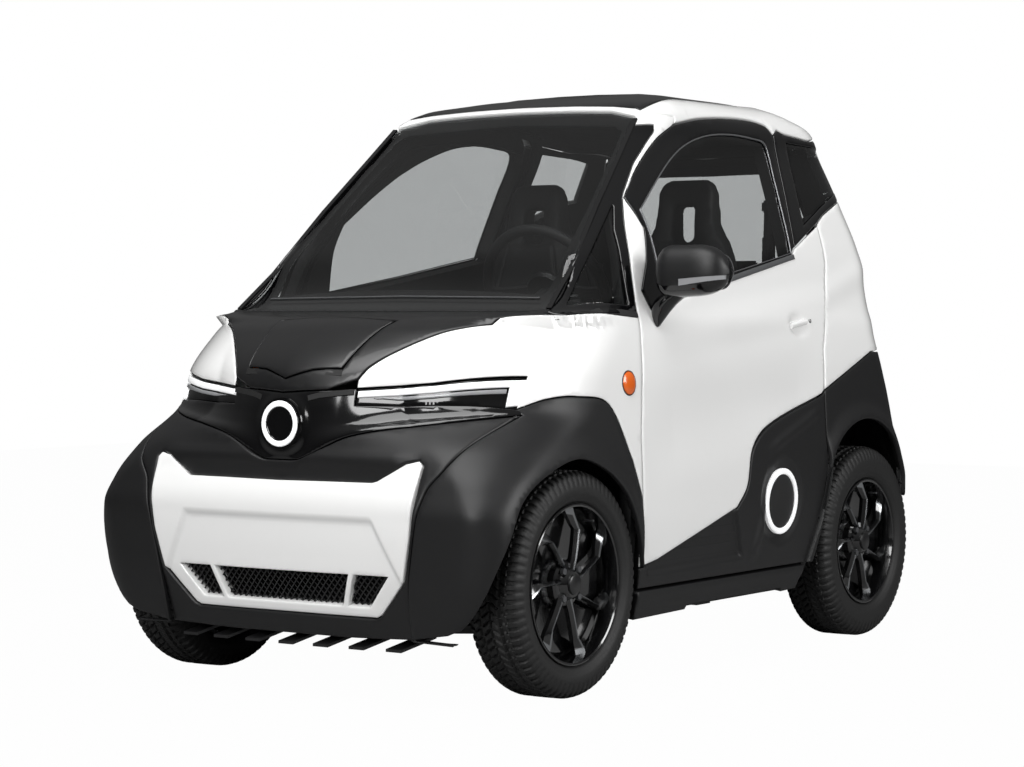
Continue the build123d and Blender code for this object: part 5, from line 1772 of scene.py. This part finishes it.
# ---- camera, light and floor ---------------------------------------------------------------------
FLOOR_HALF = 9000  # reach of the floor each way
FLOOR_GLOW = 0.985  # share of the floor that the camera sees as bright as the backdrop
FLOOR_GREY = (0.3, 0.3, 0.3, 1)
SKY_LOW, SKY_HIGH = 0.06, 0.3  # light of the sky at the horizon and overhead
LIGHTS = (  # name, place in metres, size in metres, watts
    ("key", (0.4, -2.4, 4.6), 3.4, 190),
    ("fill", (1.4, -6.6, 3.4), 2.6, 210),
    ("side", (5.6, 0.9, 2.6), 2.4, 190),
)
LIT_POINT = (0, 0, 0.7)
LENS = 93.51  # focal length in mm on a 36 mm sensor
EYE = (4.0923, -6.1194, 0.9308)  # metres from the car's mid plane
EYE_YAW, EYE_PITCH = math.radians(34.298), math.radians(-1.4977)


def pale_floor():
    """White sweep: the camera sees it nearly as bright as the backdrop, with a faint contact shadow."""
    material = bpy.data.materials.new("pale_floor")
    material.use_nodes = True
    tree = material.node_tree
    tree.nodes.clear()
    path = node(tree, "ShaderNodeLightPath")
    lit = node(tree, "ShaderNodeBsdfDiffuse", Color=FLOOR_GREY)
    glow = node(tree, "ShaderNodeEmission", Color=(1, 1, 1, 1), Strength=1.0)
    seen = node(tree, "ShaderNodeMixShader", {1: lit.outputs[0], 2: glow.outputs[0]})
    seen.inputs[0].default_value = FLOOR_GLOW
    camera = path.outputs["Is Camera Ray"]
    mix = node(tree, "ShaderNodeMixShader", {0: camera, 1: lit.outputs[0], 2: seen.outputs[0]})
    node(tree, "ShaderNodeOutputMaterial", {"Surface": mix.outputs[0]})
    return material


def stage():
    """A pale sweep, a soft overhead and side light, and the camera."""
    world = bpy.data.worlds.new("World")
    bpy.context.scene.world = world
    world.use_nodes = True
    tree = world.node_tree
    tree.nodes.clear()
    path = node(tree, "ShaderNodeLightPath")
    sky = node(tree, "ShaderNodeBackground", Color=(1, 1, 1, 1), Strength=1.0)
    up = node(tree, "ShaderNodeSeparateXYZ", {0: node(tree, "ShaderNodeTexCoord").outputs["Generated"]})
    rise = node(
        tree, "ShaderNodeMapRange", {"Value": up.outputs["Z"]},
        From_Min=0.0, From_Max=0.95, To_Min=SKY_LOW, To_Max=SKY_HIGH,
    )
    dim = node(tree, "ShaderNodeBackground", {"Strength": rise.outputs["Result"]}, Color=(1, 1, 1, 1))
    camera = path.outputs["Is Camera Ray"]
    mix = node(tree, "ShaderNodeMixShader", {0: camera, 1: dim.outputs[0], 2: sky.outputs[0]})
    node(tree, "ShaderNodeOutputWorld", {"Surface": mix.outputs[0]})
    half = FLOOR_HALF
    corners = [(-half, -half, 0), (half, -half, 0), (half, half, 0), (-half, half, 0)]
    floor = make("floor", corners, [(0, 1, 2, 3)], [pale_floor()])
    for name, at, size, power in LIGHTS:
        light = bpy.data.lights.new(name, "AREA")
        light.energy, light.size = power, size
        lamp = bpy.data.objects.new(name, light)
        lamp.location = at
        lamp.rotation_euler = (Vector(LIT_POINT) - Vector(at)).to_track_quat("-Z", "Y").to_euler()
        bpy.context.collection.objects.link(lamp)
    camera = bpy.data.cameras.new("camera")
    camera.lens, camera.sensor_width = LENS, 36.0
    camera.clip_end = 100.0
    eye = bpy.data.objects.new("camera", camera)
    eye.location = (EYE[0] + SIDE_SHIFT * MM, EYE[1], EYE[2])
    eye.rotation_euler = (math.pi / 2 + EYE_PITCH, 0.0, EYE_YAW)
    bpy.context.collection.objects.link(eye)
    bpy.context.scene.camera = eye
    bpy.context.scene.view_settings.view_transform = "Standard"


stage()
